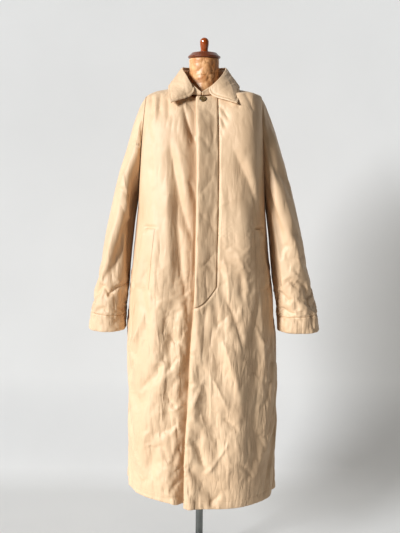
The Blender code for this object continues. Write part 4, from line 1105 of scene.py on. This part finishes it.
# creases on the front of each sleeve: x1, z1, x0, z0, bow, half-width, depth, crispness
rightSleeveCreases = [
    (-0.172, 1.425, -0.197, 1.305, 0.003, 0.008, 0.0050, 1.5),
    (-0.186, 1.400, -0.214, 1.300, 0.002, 0.008, -0.0040, 1.4),
    (-0.212, 1.305, -0.178, 1.300, 0.003, 0.006, -0.0045, 1.1),
    (-0.196, 1.300, -0.222, 0.900, 0.006, 0.020, -0.0120, 1.6),
    (-0.214, 1.320, -0.285, 0.900, 0.002, 0.018, 0.0080, 1.6),
    (-0.231, 1.240, -0.219, 1.140, 0.002, 0.008, 0.0055, 1.3),
    (-0.243, 1.184, -0.208, 1.150, 0.003, 0.006, -0.0055, 1.1),
    (-0.246, 1.155, -0.212, 1.040, 0.004, 0.010, -0.0060, 1.2),
    (-0.228, 1.160, -0.196, 1.070, -0.003, 0.009, 0.0050, 1.2),
    (-0.262, 1.100, -0.286, 0.915, 0.004, 0.014, 0.0040, 1.6),
    (-0.240, 1.040, -0.250, 0.900, -0.004, 0.012, -0.0040, 1.5),
    (-0.278, 0.860, -0.222, 0.902, 0.005, 0.007, -0.0055, 1.1),
    (-0.300, 0.905, -0.268, 0.858, 0.004, 0.008, -0.0036, 1.2),
    (-0.258, 0.925, -0.226, 0.870, 0.004, 0.008, 0.0040, 1.2),
]
leftSleeveCreases = [
    (0.176, 1.425, 0.200, 1.290, 0.003, 0.010, -0.0045, 1.5),
    (0.190, 1.370, 0.226, 1.215, 0.004, 0.012, 0.0050, 1.6),
    (0.222, 1.240, 0.266, 1.040, 0.005, 0.014, 0.0050, 1.6),
    (0.262, 1.060, 0.292, 0.920, 0.004, 0.013, 0.0042, 1.6),
    (0.212, 1.120, 0.238, 0.960, 0.004, 0.012, -0.0050, 1.5),
    (0.222, 1.018, 0.300, 1.004, 0.006, 0.008, -0.0030, 1.2),
    (0.244, 0.980, 0.315, 0.998, -0.005, 0.008, -0.0032, 1.2),
    (0.246, 0.925, 0.292, 0.888, 0.004, 0.008, -0.0050, 1.1),
    (0.262, 0.948, 0.302, 0.908, 0.003, 0.007, 0.0044, 1.1),
    (0.226, 0.885, 0.262, 0.843, 0.003, 0.008, -0.0050, 1.1),
    (0.300, 0.920, 0.322, 0.850, 0.003, 0.009, -0.0036, 1.2),
]


# the armhole's line from the shoulder down the front, under the arm and up the back
def armholeLoop(outwards, count):
    h = underarmH + (1 - underarmH) * np.linspace(0.0, 1.0, count)**1.4
    front = armholeTurn(h) * outwards
    behind = (math.pi - armholeTurn(h)) * outwards
    turn = np.concatenate([front[::-1], behind[1:-1]])
    heights = np.concatenate([h[::-1], h[1:-1]])
    points, normals = body(turn, heights), bodyNormal(turn, heights)
    points[0, 1] = normals[0, 1] = 0.0
    return points, unit(normals)


# Rings down a sleeve. Each is an oval between its outer and inner points, and the first ones pass
# from the armhole's outline to it.
def sleeveRings(table, outwards, shares, count):
    keys = np.linspace(0.0, 1.0, len(sleeves["depth"]))
    at = np.asarray(shares, float)

    def axes(at):
        outer, inner = (np.stack([readCurve(keys, x, at), readCurve(keys, z, at)], axis=-1)
                        for x, z in ((table["outerX"], table["outerZ"]),
                                     (table["innerX"], sleeves["innerZ"])))
        return (outer + inner) / 2, unit(outer - inner), np.linalg.norm(outer - inner, axis=-1) / 2

    loop, bodyNormals = armholeLoop(outwards, count)
    centre, across, half = axes(np.array([0.0]))
    flat = np.stack([loop[:, 0] * outwards, loop[:, 2]], axis=-1) - centre[0]
    up = flat @ across[0] / half[0]
    ahead = -loop[:, 1] / sleeves["depth"][0]
    beyond = flat @ np.array([across[0, 1], -across[0, 0]])
    angle = np.arctan2(ahead, up)

    centre, across, half = axes(at)
    oval = ease(at / sleeves["ovalBy"])[:, None]
    c = up * (1 - oval) + np.cos(angle) * oval
    d = ahead * (1 - oval) + np.sin(angle) * oval
    e = beyond * (1 - oval) + 0.0012
    aside = np.stack([across[:, 1], -across[:, 0]], axis=-1)
    xz = centre[:, None] + across[:, None] * (half[:, None] * c)[..., None]
    xz = xz + aside[:, None] * e[..., None]
    y = (-readCurve(keys, sleeves["forward"], at)[:, None]
         - readCurve(keys, sleeves["depth"], at)[:, None] * d)
    points = np.stack([xz[..., 0] * outwards, y, xz[..., 1]], axis=-1)
    roundIt = np.roll(points, -1, axis=1) - np.roll(points, 1, axis=1)
    normals = unit(np.cross(roundIt, np.gradient(points, axis=0))) * outwards
    start = (1 - ease(at / 0.12))[:, None] * np.clip(np.cos(angle), 0.0, 1.0)**0.7
    normals = unit(normals * (1 - start[..., None]) + bodyNormals[None] * start[..., None])
    return points, normals, angle


# a sleeve's relief: listed creases in front, the same ones lower and fainter behind, puffs, and
# gathers on both sides of the cuff's seam
def sleeveRelief(points, angle, shares, creases, seed):
    x, z = points[..., 0], points[..., 2]
    ahead = np.broadcast_to(np.sin(angle), x.shape)
    height = creaseHeight(x, z, creases) * ease(ahead * 3.0)
    behind = sleeveCloth["behind"] * creaseHeight(x, z + sleeveCloth["behindUp"], creases)
    height += behind * ease(-ahead * 3.0)
    around = np.broadcast_to(angle, x.shape) * sleeves["roundRadius"]
    along = shares[:, None] * sleeves["length"] + 0 * x
    bend = cloudNoise(points / sleeveCloth["warpSize"], seed) * sleeveCloth["warp"]
    least = sleeveCloth["topShare"]
    share = least + (1 - least) * ease((shares[:, None] - 0.45) / 0.35)
    for size, depth, more in sleeveCloth["puffs"]:
        height += share * depth * pillows(around + bend, along + 0.6 * bend, size, seed + more)
    under = np.minimum(math.pi - np.abs(angle), 0.5)[None, :] * sleeves["roundRadius"]
    height *= (1 - sewing["quieting"] * bell(under, 0.010)) * ease(shares[:, None] / 0.07)
    toSeam = (shares[:, None] - sleeves["cuffShare"]) * sleeves["length"]
    gather = cloudNoise(np.stack([
        around / sleeveCloth["gatherStep"], along / sleeveCloth["gatherLength"], 0 * x],
        axis=-1), seed + 5)
    height += sleeveCloth["gather"] * gather * bell(toSeam, sleeveCloth["gatherWidth"])
    height -= sleeveCloth["seamDip"] * bell(toSeam, sleeveCloth["seamWidth"])
    return height


# the two sleeves: their tables, cuffs, sides, creases and seeds
sleevePieces = dict(
    sleeveLeft=dict(side="left", cuff="cuffLeft", outwards=1.0, creases=leftSleeveCreases,
                    seed=60),
    sleeveRight=dict(side="right", cuff="cuffRight", outwards=-1.0, creases=rightSleeveCreases,
                     seed=70),
)


def sleeveFace(sleeve, shares, count):
    points, normals, angle = sleeveRings(sleeves[sleeve["side"]], sleeve["outwards"], shares, count)
    relief = sleeveRelief(points, angle, shares, sleeve["creases"], sleeve["seed"])
    return points + normals * relief[..., None], normals, angle


# a sleeve's coarse grid: held firmly at the armhole, half at the cuff, and lightly between
def sleeveSettling(sleeve):
    shares = np.linspace(0.0, 1.0, int(sleeves["length"] / settle["step"]))
    points, normals, angle = sleeveFace(sleeve, shares, sleeves["coarse"])
    down = shares[:, None] + 0 * points[..., 0]
    hold = np.where(down < settle["sleeveTop"], 1.0, settle["light"])
    hold = np.where(np.abs(down - sleeves["cuffShare"]) < 0.012, settle["cuffSeam"], hold)
    hold = np.where(down > sleeves["cuffShare"], np.maximum(hold, settle["cuff"]), hold)
    beside = (np.cos(angle) < -0.6)[None, :] & (down < 0.9)
    hold = np.where(beside, np.maximum(hold, settle["sleeveSide"]), hold)
    grow = settle["sleeveGrow"] + settle["sleeveMore"] * ease((down - 0.5) / 0.35)
    return dict(points=points, hold=hold, grow=grow, closed=True)


# a sleeve's tube and its cuff: one surface, moved as the coarse one settled, and parted at the seam
def makeSleeve(name, sleeve, moved):
    split = sleeves["cuffShare"]
    upper = rolledSteps(split, sleeves["step"], 0.006)
    cuff = rolledSteps(1 - split - sleeves["seamShare"], sleeves["cuffStep"], sleeves["cuffRoll"])
    cuff = split + sleeves["seamShare"] + cuff
    shares = np.concatenate([upper, cuff])
    points, normals, angle = sleeveFace(sleeve, shares, sleeves["fine"])
    rows, columns = moved.shape[:2]
    ratio = (sleeves["coarse"] - 1) / (sleeves["fine"] - 1)
    coarseColumns = np.arange(points.shape[1]) * ratio
    points = points + readGrid(moved, shares * (rows - 1), coarseColumns, closed=True)
    if sleeve["outwards"] > 0:
        points, normals = points[:, ::-1], normals[:, ::-1]
    points, normals = points[::-1], normals[::-1]
    few = len(cuff)
    band = clothWall(sleeve["cuff"], points[:few], normals[:few],
                     coat["wall"] + sleeves["cuffWall"], coat["roll"],
                     {"bottom": 1.0, "top": 0.15}, cloth, closed=True)
    tube = clothWall(name, points[few:], normals[few:], coat["wall"], coat["roll"],
                     {"bottom": 0.15, "top": 0.3}, cloth, closed=True)
    around = [np.concatenate([grid[:few], grid[:few, :1]], axis=1) for grid in (points, normals)]
    stitchLines[sleeve["cuff"]] = [lineOn(*around, sleeves["stitchIn"], fromEnd)
                                   for fromEnd in (False, True)]
    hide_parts("cuff_" + sleeve["side"])
    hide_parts("sleeve_" + sleeve["side"])
    return tube, band


grids = {name: panelSettling(name, panel) for name, panel in panels.items()}
grids.update({name: sleeveSettling(sleeve) for name, sleeve in sleevePieces.items()})
moved = buckle(grids)
print("cloth settled")

frontLeft, frontRight, backPanel = (
    makePanel(name, panels[name], moved[name], node) for name, node in (
        ("frontLeft", "front_left"), ("frontRight", "front_right"), ("backPanel", "back")))
print("fronts and back made")
flyStrip = makeFly()
weltRight = makeWelt("weltRight", "pocket_welt_right", welt["right"], -1.0)
weltLeft = makeWelt("weltLeft", "pocket_welt_left", welt["left"], 1.0)
print("fly and welts made")
(sleeveLeft, cuffLeft), (sleeveRight, cuffRight) = (
    makeSleeve(name, sleeve, moved[name]) for name, sleeve in sleevePieces.items())
print("sleeves and cuffs made")

# The collar round the neck, from the throat (0 degrees) to the middle of the back (180).
collar = dict(
    turn=[0.0, 22.0, 50.0, 90.0, 130.0, 160.0, 180.0],
    rollX=[0.019, 0.029, 0.044, 0.057, 0.048, 0.024, 0.000],
    standX=[0.0006, 0.020, 0.044, 0.057, 0.048, 0.024, 0.000],
    rollY=[-0.0760, -0.072, -0.056, -0.008, 0.042, 0.058, 0.062],
    rollZ=[1.4525, 1.467, 1.490, 1.517, 1.524, 1.524, 1.524],
    edgeX=[0.093, 0.098, 0.102, 0.103, 0.086, 0.040, 0.000],
    edgeY=[-0.1180, -0.1000, -0.0620, -0.0050, 0.0720, 0.1040, 0.1080],
    edgeZ=[1.421, 1.429, 1.454, 1.4735, 1.4620, 1.4460, 1.4410],
    wall=0.0044, open=0.6, aside=-0.006, inset=0.0025, drop=0.014, crown=0.0012,
    columns=190, rows=34, standRows=14, standThinner=0.001, standRoll=0.002, roll=0.0026,
    puffs=[((0.050, 0.030), 0.0013, 81), ((0.020, 0.014), 0.0005, 82)],
    stitchIn=0.0070, dip=0.0011, dipIn=0.0075, dipWidth=0.0020,
)


# the neckline's points, by angle round the neck from the throat (0) to the back (180)
def neckline(angle):
    across = turnOfX(coat["neckX"] * np.sin(np.radians(angle)), coat["neckRow"])
    turn = np.where(angle <= 90.0, across, math.pi - across)
    h = np.where(angle <= 90.0, neckH(turn, coat["frontNeckZ"]), neckH(turn, coat["backNeckZ"]))
    return body(turn, np.minimum(h, 0.9999))


# the collar's seam, roll line and outer edge, all the way round from the right throat
def collarLines(columns):
    turn = np.linspace(-180.0, 180.0, columns)
    fromThroat = 180.0 - np.abs(turn)

    def line(name):
        x, y, z = (readCurve(collar["turn"], collar[name + axis], fromThroat) for axis in "XYZ")
        return np.stack([np.sign(turn) * x, y, z], axis=-1)

    seam = neckline(collar["open"] + (180.0 - collar["open"]) * fromThroat / 180.0)
    seam[:, 0] *= np.sign(turn)
    inwards = unit(-seam * np.array([1.0, 1.0, 0.0]))
    seam = seam + inwards * (collar["wall"] / 2 + collar["inset"])
    seam = seam + np.array([0, 0, 2 * coat["seamGap"]])
    roll, edge = line("roll"), line("edge")
    standRoll = roll.copy()
    standRoll[:, 0] = np.sign(turn) * readCurve(collar["turn"], collar["standX"], fromThroat)
    aside = np.stack([collar["aside"] * ease(1 - fromThroat / 60.0), 0 * turn, 0 * turn], axis=-1)
    return seam + aside, standRoll + aside, roll + aside, edge


# The collar's stand goes straight from the seam up to the roll line, and its fall from there down
# to the edge. The fall sags by the throat, swells, and dips along its stitching.
def makeCollar():
    seam, standRoll, roll, edge = collarLines(collar["columns"])
    outwards = roll - np.array([0.0, -0.01, 0.0])
    outwards[:, 2] = 0.0
    outwards = unit(outwards)
    share = np.linspace(0.0, 1.0, collar["standRows"])[:, None, None]
    stand = seam + (standRoll - seam) * share
    normals = np.broadcast_to(outwards, stand.shape)
    stand = (stand + normals * 0.5 * collar["wall"])[:, ::-1]
    standPiece = clothWall("collarStand", stand, normals[:, ::-1],
                           collar["wall"] - collar["standThinner"], collar["standRoll"],
                           {"bottom": 0.8, "top": 0.8, "start": 0.8, "end": 0.8}, cloth)
    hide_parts("collar_stand")

    share = (rolledSteps(1.0, 1.0 / collar["rows"], 0.08)**0.8)[:, None, None]
    lift = np.array([0.0, 0.0, 0.5 * collar["wall"] + 0.006])
    fall = roll + lift + (edge - roll - lift) * share
    fall = fall + outwards * (0.5 * collar["wall"] + 0.004) * (1 - share)
    turn = np.linspace(-180.0, 180.0, collar["columns"])
    nearThroat = ease((np.abs(turn) - 150.0) / 30.0)[None, :]
    fall[..., 2] -= collar["drop"] * nearThroat * np.sin(math.pi * share[..., 0]**0.4)
    bulge = unit(outwards + np.array([0.0, 0.0, 0.8]))
    fall = fall + bulge * collar["crown"] * np.sin(math.pi * share)**0.7
    normals = surfaceNormals(fall[::-1, ::-1])[::-1, ::-1]
    down, along = gridLengths(fall)
    toEdge = np.minimum(down[-1:] - down, np.minimum(along, along[:, -1:] - along) + 0 * down)
    relief = sum(depth * pillows(along + 0 * down, down, size, seed)
                 for size, depth, seed in collar["puffs"])
    relief *= ease(down / 0.010) * ease(toEdge / 0.006)
    relief -= collar["dip"] * bell(toEdge - collar["dipIn"], collar["dipWidth"])
    fall = (fall + normals * relief[..., None])[::-1, ::-1]
    normals = surfaceNormals(fall)
    fallPiece = clothWall("collarFall", fall, normals, collar["wall"], collar["roll"],
                          {"bottom": 1.0, "top": 0.6, "start": 1.0, "end": 1.0}, cloth)
    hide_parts("collar_fall")
    inset = collar["stitchIn"]
    line, out = lineOn(fall, normals, inset)
    ends = np.linalg.norm(line - line[:1], axis=-1), np.linalg.norm(line - line[-1:], axis=-1)
    inside = (ends[0] > inset) & (ends[1] > inset)
    stitchLines["collarFall"] = [(line[inside], out[inside])]
    for fromEnd in (False, True):
        line, out = lineOn(np.swapaxes(fall, 0, 1), np.swapaxes(normals, 0, 1), inset, fromEnd)
        inside = np.linalg.norm(line - line[:1], axis=-1) > inset
        stitchLines["collarFall"].append((line[inside], out[inside]))
    return standPiece, fallPiece


collarStand, collarFall = makeCollar()
print("collar made")

stitches = {name: makeStitches(name + "Stitches", lines) for name, lines in stitchLines.items()}
print("stitches made", sum(len(piece.data.polygons) for piece in stitches.values()))

# The form: half-widths, half-depths, middles and squareness by height.
form = dict(
    z=[0.760, 0.766, 0.800, 0.900, 1.000, 1.080, 1.180, 1.280, 1.350, 1.395, 1.415, 1.428, 1.438,
       1.456, 1.480, 1.5510],
    width=[0.080, 0.120, 0.142, 0.148, 0.135, 0.124, 0.140, 0.152, 0.153, 0.147, 0.128, 0.092,
           0.062, 0.047, 0.0425, 0.0425],
    depth=[0.060, 0.090, 0.104, 0.108, 0.097, 0.090, 0.100, 0.102, 0.090, 0.068, 0.054, 0.048,
           0.045, 0.0435, 0.0425, 0.0425],
    centreY=[0.004, 0.004, 0.004, 0.004, 0.002, 0.002, 0.000, 0.000, 0.002, 0.004, 0.004, 0.002,
             0.000, 0.000, 0.000, 0.000],
    square=[2.0, 2.1, 2.2, 2.2, 2.2, 2.2, 2.3, 2.4, 2.4, 2.3, 2.2, 2.1, 2.0, 2.0, 2.0, 2.0],
    columns=160, neckZ=1.44, warp=0.010, warpSize=0.030, bodyShare=0.15,
    broad=(0.0016, (0.020, 0.026), 92), fine=(0.0007, (0.009, 0.012), 93),
    deepest=-0.0015, highest=0.0013,
)


# the form's cover: sections |x/a|^n + |y/b|^n = 1, with the creases of a pasted paper-like cover
# on the neck
def makeForm():
    z = np.concatenate([
        np.linspace(form["z"][0], form["z"][1], 4)[:-1], np.linspace(form["z"][1], 1.40, 100)[:-1],
        np.linspace(1.40, form["z"][-1], 90)])[:, None]
    angle = np.linspace(0.0, 2 * math.pi, form["columns"], endpoint=False)[None, :]
    width, depth, middle, square = (np.interp(z, form["z"], form[name])
                                    for name in ("width", "depth", "centreY", "square"))
    across, forward = np.cos(angle), np.sin(angle)
    size = (np.abs(across)**square + np.abs(forward)**square)**(1 / square)
    points = np.stack([width * across / size, middle + depth * forward / size, z + 0 * angle],
                      axis=-1)
    out = unit(points * np.array([1.0, 1.0, 0.0]))
    bend = cloudNoise(points / form["warpSize"], 91) * form["warp"]
    around = points[..., 0] * 0.8 + points[..., 1] * 0.6
    depth, cell, seed = form["broad"]
    crinkle = depth * pillows(around + bend, points[..., 2] + bend, cell, seed)
    depth, cell, seed = form["fine"]
    crinkle += depth * pillows(around - bend, points[..., 2], cell, seed)
    crinkle = np.clip(crinkle, form["deepest"], form["highest"])
    onNeck = ease((z - form["neckZ"]) / 0.02) * ease((form["z"][-1] - 0.001 - z) / 0.004)
    share = form["bodyShare"] + (1 - form["bodyShare"]) * onNeck
    points = points + out * (crinkle * share * ease((z - 0.77) / 0.01))[..., None]
    rows, columns = points.shape[:2]
    count, last = rows * columns, (rows - 1) * columns
    ends = [[0.0, 0.004, form["z"][0]], [0.0, 0.0, form["z"][-1]]]
    ring = np.arange(columns)
    after = np.roll(ring, -1)
    bottom = np.stack([after, ring, np.full(columns, count)], axis=-1)
    top = np.stack([last + ring, last + after, np.full(columns, count + 1)], axis=-1)
    piece = makePiece("formCover", np.concatenate([points.reshape(-1, 3), ends]),
                      [gridFaces(rows, columns, True), bottom, top], cover)
    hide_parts("form_torso")


# Two threads over the throat button's face, from hole to hole, each as high as the root of a
# sine. The button's middle and the way it faces come from its points: it faces along their
# least spread.
def makeButtonThread(holes=0.0021, radius=0.0004, proud=0.0002, rise=0.0012, rings=9, sides=8):
    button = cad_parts["throat_button"].data
    points = np.empty(len(button.vertices) * 3, np.float32)
    button.vertices.foreach_get("co", points)
    points = points.reshape(-1, 3).astype(float)
    middle = (points.min(axis=0) + points.max(axis=0)) / 2
    facing = np.linalg.svd(points - points.mean(axis=0), full_matrices=False)[2][2]
    facing = facing * -np.sign(facing[1])
    across = unit(np.cross(facing, [0.0, 0.0, 1.0]))
    up = np.cross(across, facing)
    level = np.max((points - middle) @ facing) + proud - rise
    share = np.linspace(0.0, 1.0, rings)
    angle = np.linspace(0.0, 2 * math.pi, sides, endpoint=False)
    threads = []
    for side in (-1.0, 1.0):
        arch = np.sin(math.pi * share)[:, None]
        line = (middle + across * side * holes + up * (2 * share - 1)[:, None] * holes
                + facing * (level + rise * arch**0.5))
        along = unit(np.gradient(line, axis=0))
        out = np.cross(across, along)
        ring = (out[:, None] * np.cos(angle)[:, None] + across * np.sin(angle)[:, None]) * radius
        threads.append((line[:, None] + ring).reshape(-1, 3))
    tube = gridFaces(rings, sides, True)
    ends = np.stack([np.arange(sides)[::-1], (rings - 1) * sides + np.arange(sides)])
    faces = [np.concatenate([group, group + rings * sides]) for group in (tube, ends)]
    piece = makePiece("buttonThread", np.concatenate(threads), faces, thread)


makeForm()
makeButtonThread()

# the CAD parts that stay take their materials: wood for the cap and finial, horn for the
# throat button, steel for the pole and the foot
print("cuts declared")
for name, material in dict(neck_cap=capWood, finial=finialWood, throat_button=horn, pole=steel,
                           stand_foot=steel).items():
    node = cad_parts[name]
    for slot in node.material_slots:
        slot.material = material
print("form made")

# paint scales the wall's colour, which is painted darker or lighter against how squarely the window
# lights it, by at most paintedShadeMost (painted shade); glow is the wall's painted light
room = dict(half=9.0, front=-9.0, wallY=0.80, curve=0.35, high=4.5, paint=0.66, paintedShadeMost=1.09,
            paintedGlow=0.35)
window = dict(place=(-4.8, -4.1, 3.1), target=(0.0, 0.0, 0.95))


# A floor that sweeps up into a wall on a quarter circle. Its colour carries painted shade: the
# paint is greyer where the window's light falls more squarely, by the ratio of the cosines, so that
# the bend looks like the wall. It also glows a little, painted light as if a bright room lit it.
# Only the painted side shows, so the back of the coat can be seen through it.
def makeSweep():
    floor = np.array([[room["front"], 0.0], [room["wallY"] - room["curve"], 0.0]])
    angle = np.linspace(0.0, math.pi / 2, 24)[1:]
    bend = np.stack([room["wallY"] - room["curve"] + room["curve"] * np.sin(angle),
                     room["curve"] * (1 - np.cos(angle))], axis=-1)
    line = np.concatenate([floor, bend, [[room["wallY"], room["high"]]]])
    points = np.concatenate([
        np.column_stack([np.full(len(line), side * room["half"]), line]) for side in (-1.0, 1.0)])
    a = np.arange(len(line) - 1)
    faces = np.stack([a, a + len(line), a + len(line) + 1, a + 1], axis=-1)
    mesh = bpy.data.meshes.new("paleSweep")
    mesh.from_pydata(points.tolist(), [], faces.tolist())
    mesh.shade_smooth()
    material, tree, shader, place = newMaterial("paleWallPaintAndPaintedLight", {
        "Roughness": 0.9, "Emission Strength": room["paintedGlow"]})
    cloud = addNode(tree, "ShaderNodeTexNoise", {
        "Vector": place.outputs["Object"], "Scale": 2.5, "Detail": 3.0})
    tint = addTint(tree, cloud.outputs["Fac"], "#CBCAC7", "#D3D2CF")
    # painted shade: the colour is scaled by the wall's cosine to the window over this point's, so
    # the bend is painted greyer where the window lights it more squarely
    toWindow = unit(np.subtract(window["place"], window["target"]))
    facing = addNode(tree, "ShaderNodeVectorMath", {
        0: place.outputs["Normal"], 1: toWindow.tolist()}, operation="DOT_PRODUCT")
    ratio = addMath(tree, "DIVIDE", float(-toWindow[1]), facing.outputs["Value"])
    held = addMath(tree, "MINIMUM", ratio, room["paintedShadeMost"])
    share = addMath(tree, "MULTIPLY", held, room["paint"])
    even = addNode(tree, "ShaderNodeVectorMath", {
        0: tint, "Scale": share}, operation="SCALE")
    # painted light: the wall glows in its own colour, which lifts the coat's shadow on it
    tree.links.new(tint, shader.inputs["Emission Color"])
    tree.links.new(even.outputs[0], shader.inputs["Base Color"])
    side = addNode(tree, "ShaderNodeNewGeometry")
    clear = addNode(tree, "ShaderNodeBsdfTransparent")
    oneSided = addNode(tree, "ShaderNodeMixShader", {
        0: side.outputs["Backfacing"], 1: shader.outputs[0], 2: clear.outputs[0]})
    tree.links.new(oneSided.outputs[0], tree.nodes["Material Output"].inputs["Surface"])
    mesh.materials.append(material)
    sweep = bpy.data.objects.new("paleSweep", mesh)
    bpy.context.scene.collection.objects.link(sweep)


# a light at a place, facing a target: a far soft one where spread (degrees) is given, or a disc
def addLight(name, place, target, power, tint, size=None, spread=None):
    light = bpy.data.lights.new(name, "SUN" if spread else "AREA")
    if spread:
        light.angle = math.radians(spread)
    else:
        light.shape, light.size = "DISK", size
    light.energy = power
    light.color = colour(tint)[:3]
    lamp = bpy.data.objects.new(name, light)
    back = unit(np.array(place) - np.array(target))
    side = unit(np.cross([0.0, 0.0, 1.0], back))
    turned = np.column_stack([side, np.cross(back, side), back])
    lamp.matrix_world = Matrix.Translation(place) @ Matrix(turned.tolist()).to_4x4()
    bpy.context.scene.collection.objects.link(lamp)


makeSweep()
addLight("softWindow", window["place"], window["target"], 4.35, "#F5F9FF", spread=17)
addLight("softFill", (1.9, -3.2, 1.2), (0.0, 0.0, 0.9), 3.2, "#FFEBD6", size=2.0)

world = bpy.data.worlds.new("softSky")
bpy.context.scene.world = world
world.use_nodes = True
sky = world.node_tree.nodes["Background"]
sky.inputs["Color"].default_value = colour("#F2F5F8")
# the far end of the room looks as pale as the wall, but lights the coat only faintly
seen = addNode(world.node_tree, "ShaderNodeLightPath")
strength = addNode(world.node_tree, "ShaderNodeMapRange", {
    "Value": seen.outputs["Is Camera Ray"], "To Min": 0.030, "To Max": 0.70})
world.node_tree.links.new(strength.outputs[0], sky.inputs["Strength"])

view = dict(place=(-0.006, -2.303, 1.2855), tiltDown=8.5, roll=0.6, lens=52.0, sensor=36.0)
lens = bpy.data.cameras.new("camera")
lens.lens, lens.sensor_width = view["lens"], view["sensor"]
camera = bpy.data.objects.new("camera", lens)
camera.matrix_world = (Matrix.Translation(view["place"])
                       @ Matrix.Rotation(math.radians(90 - view["tiltDown"]), 4, "X")
                       @ Matrix.Rotation(math.radians(view["roll"]), 4, "Z"))
bpy.context.scene.collection.objects.link(camera)
bpy.context.scene.camera = camera
bpy.context.scene.view_settings.view_transform = "Standard"
bpy.context.scene.view_settings.look = "Medium High Contrast"

print("stage, lights and camera set")
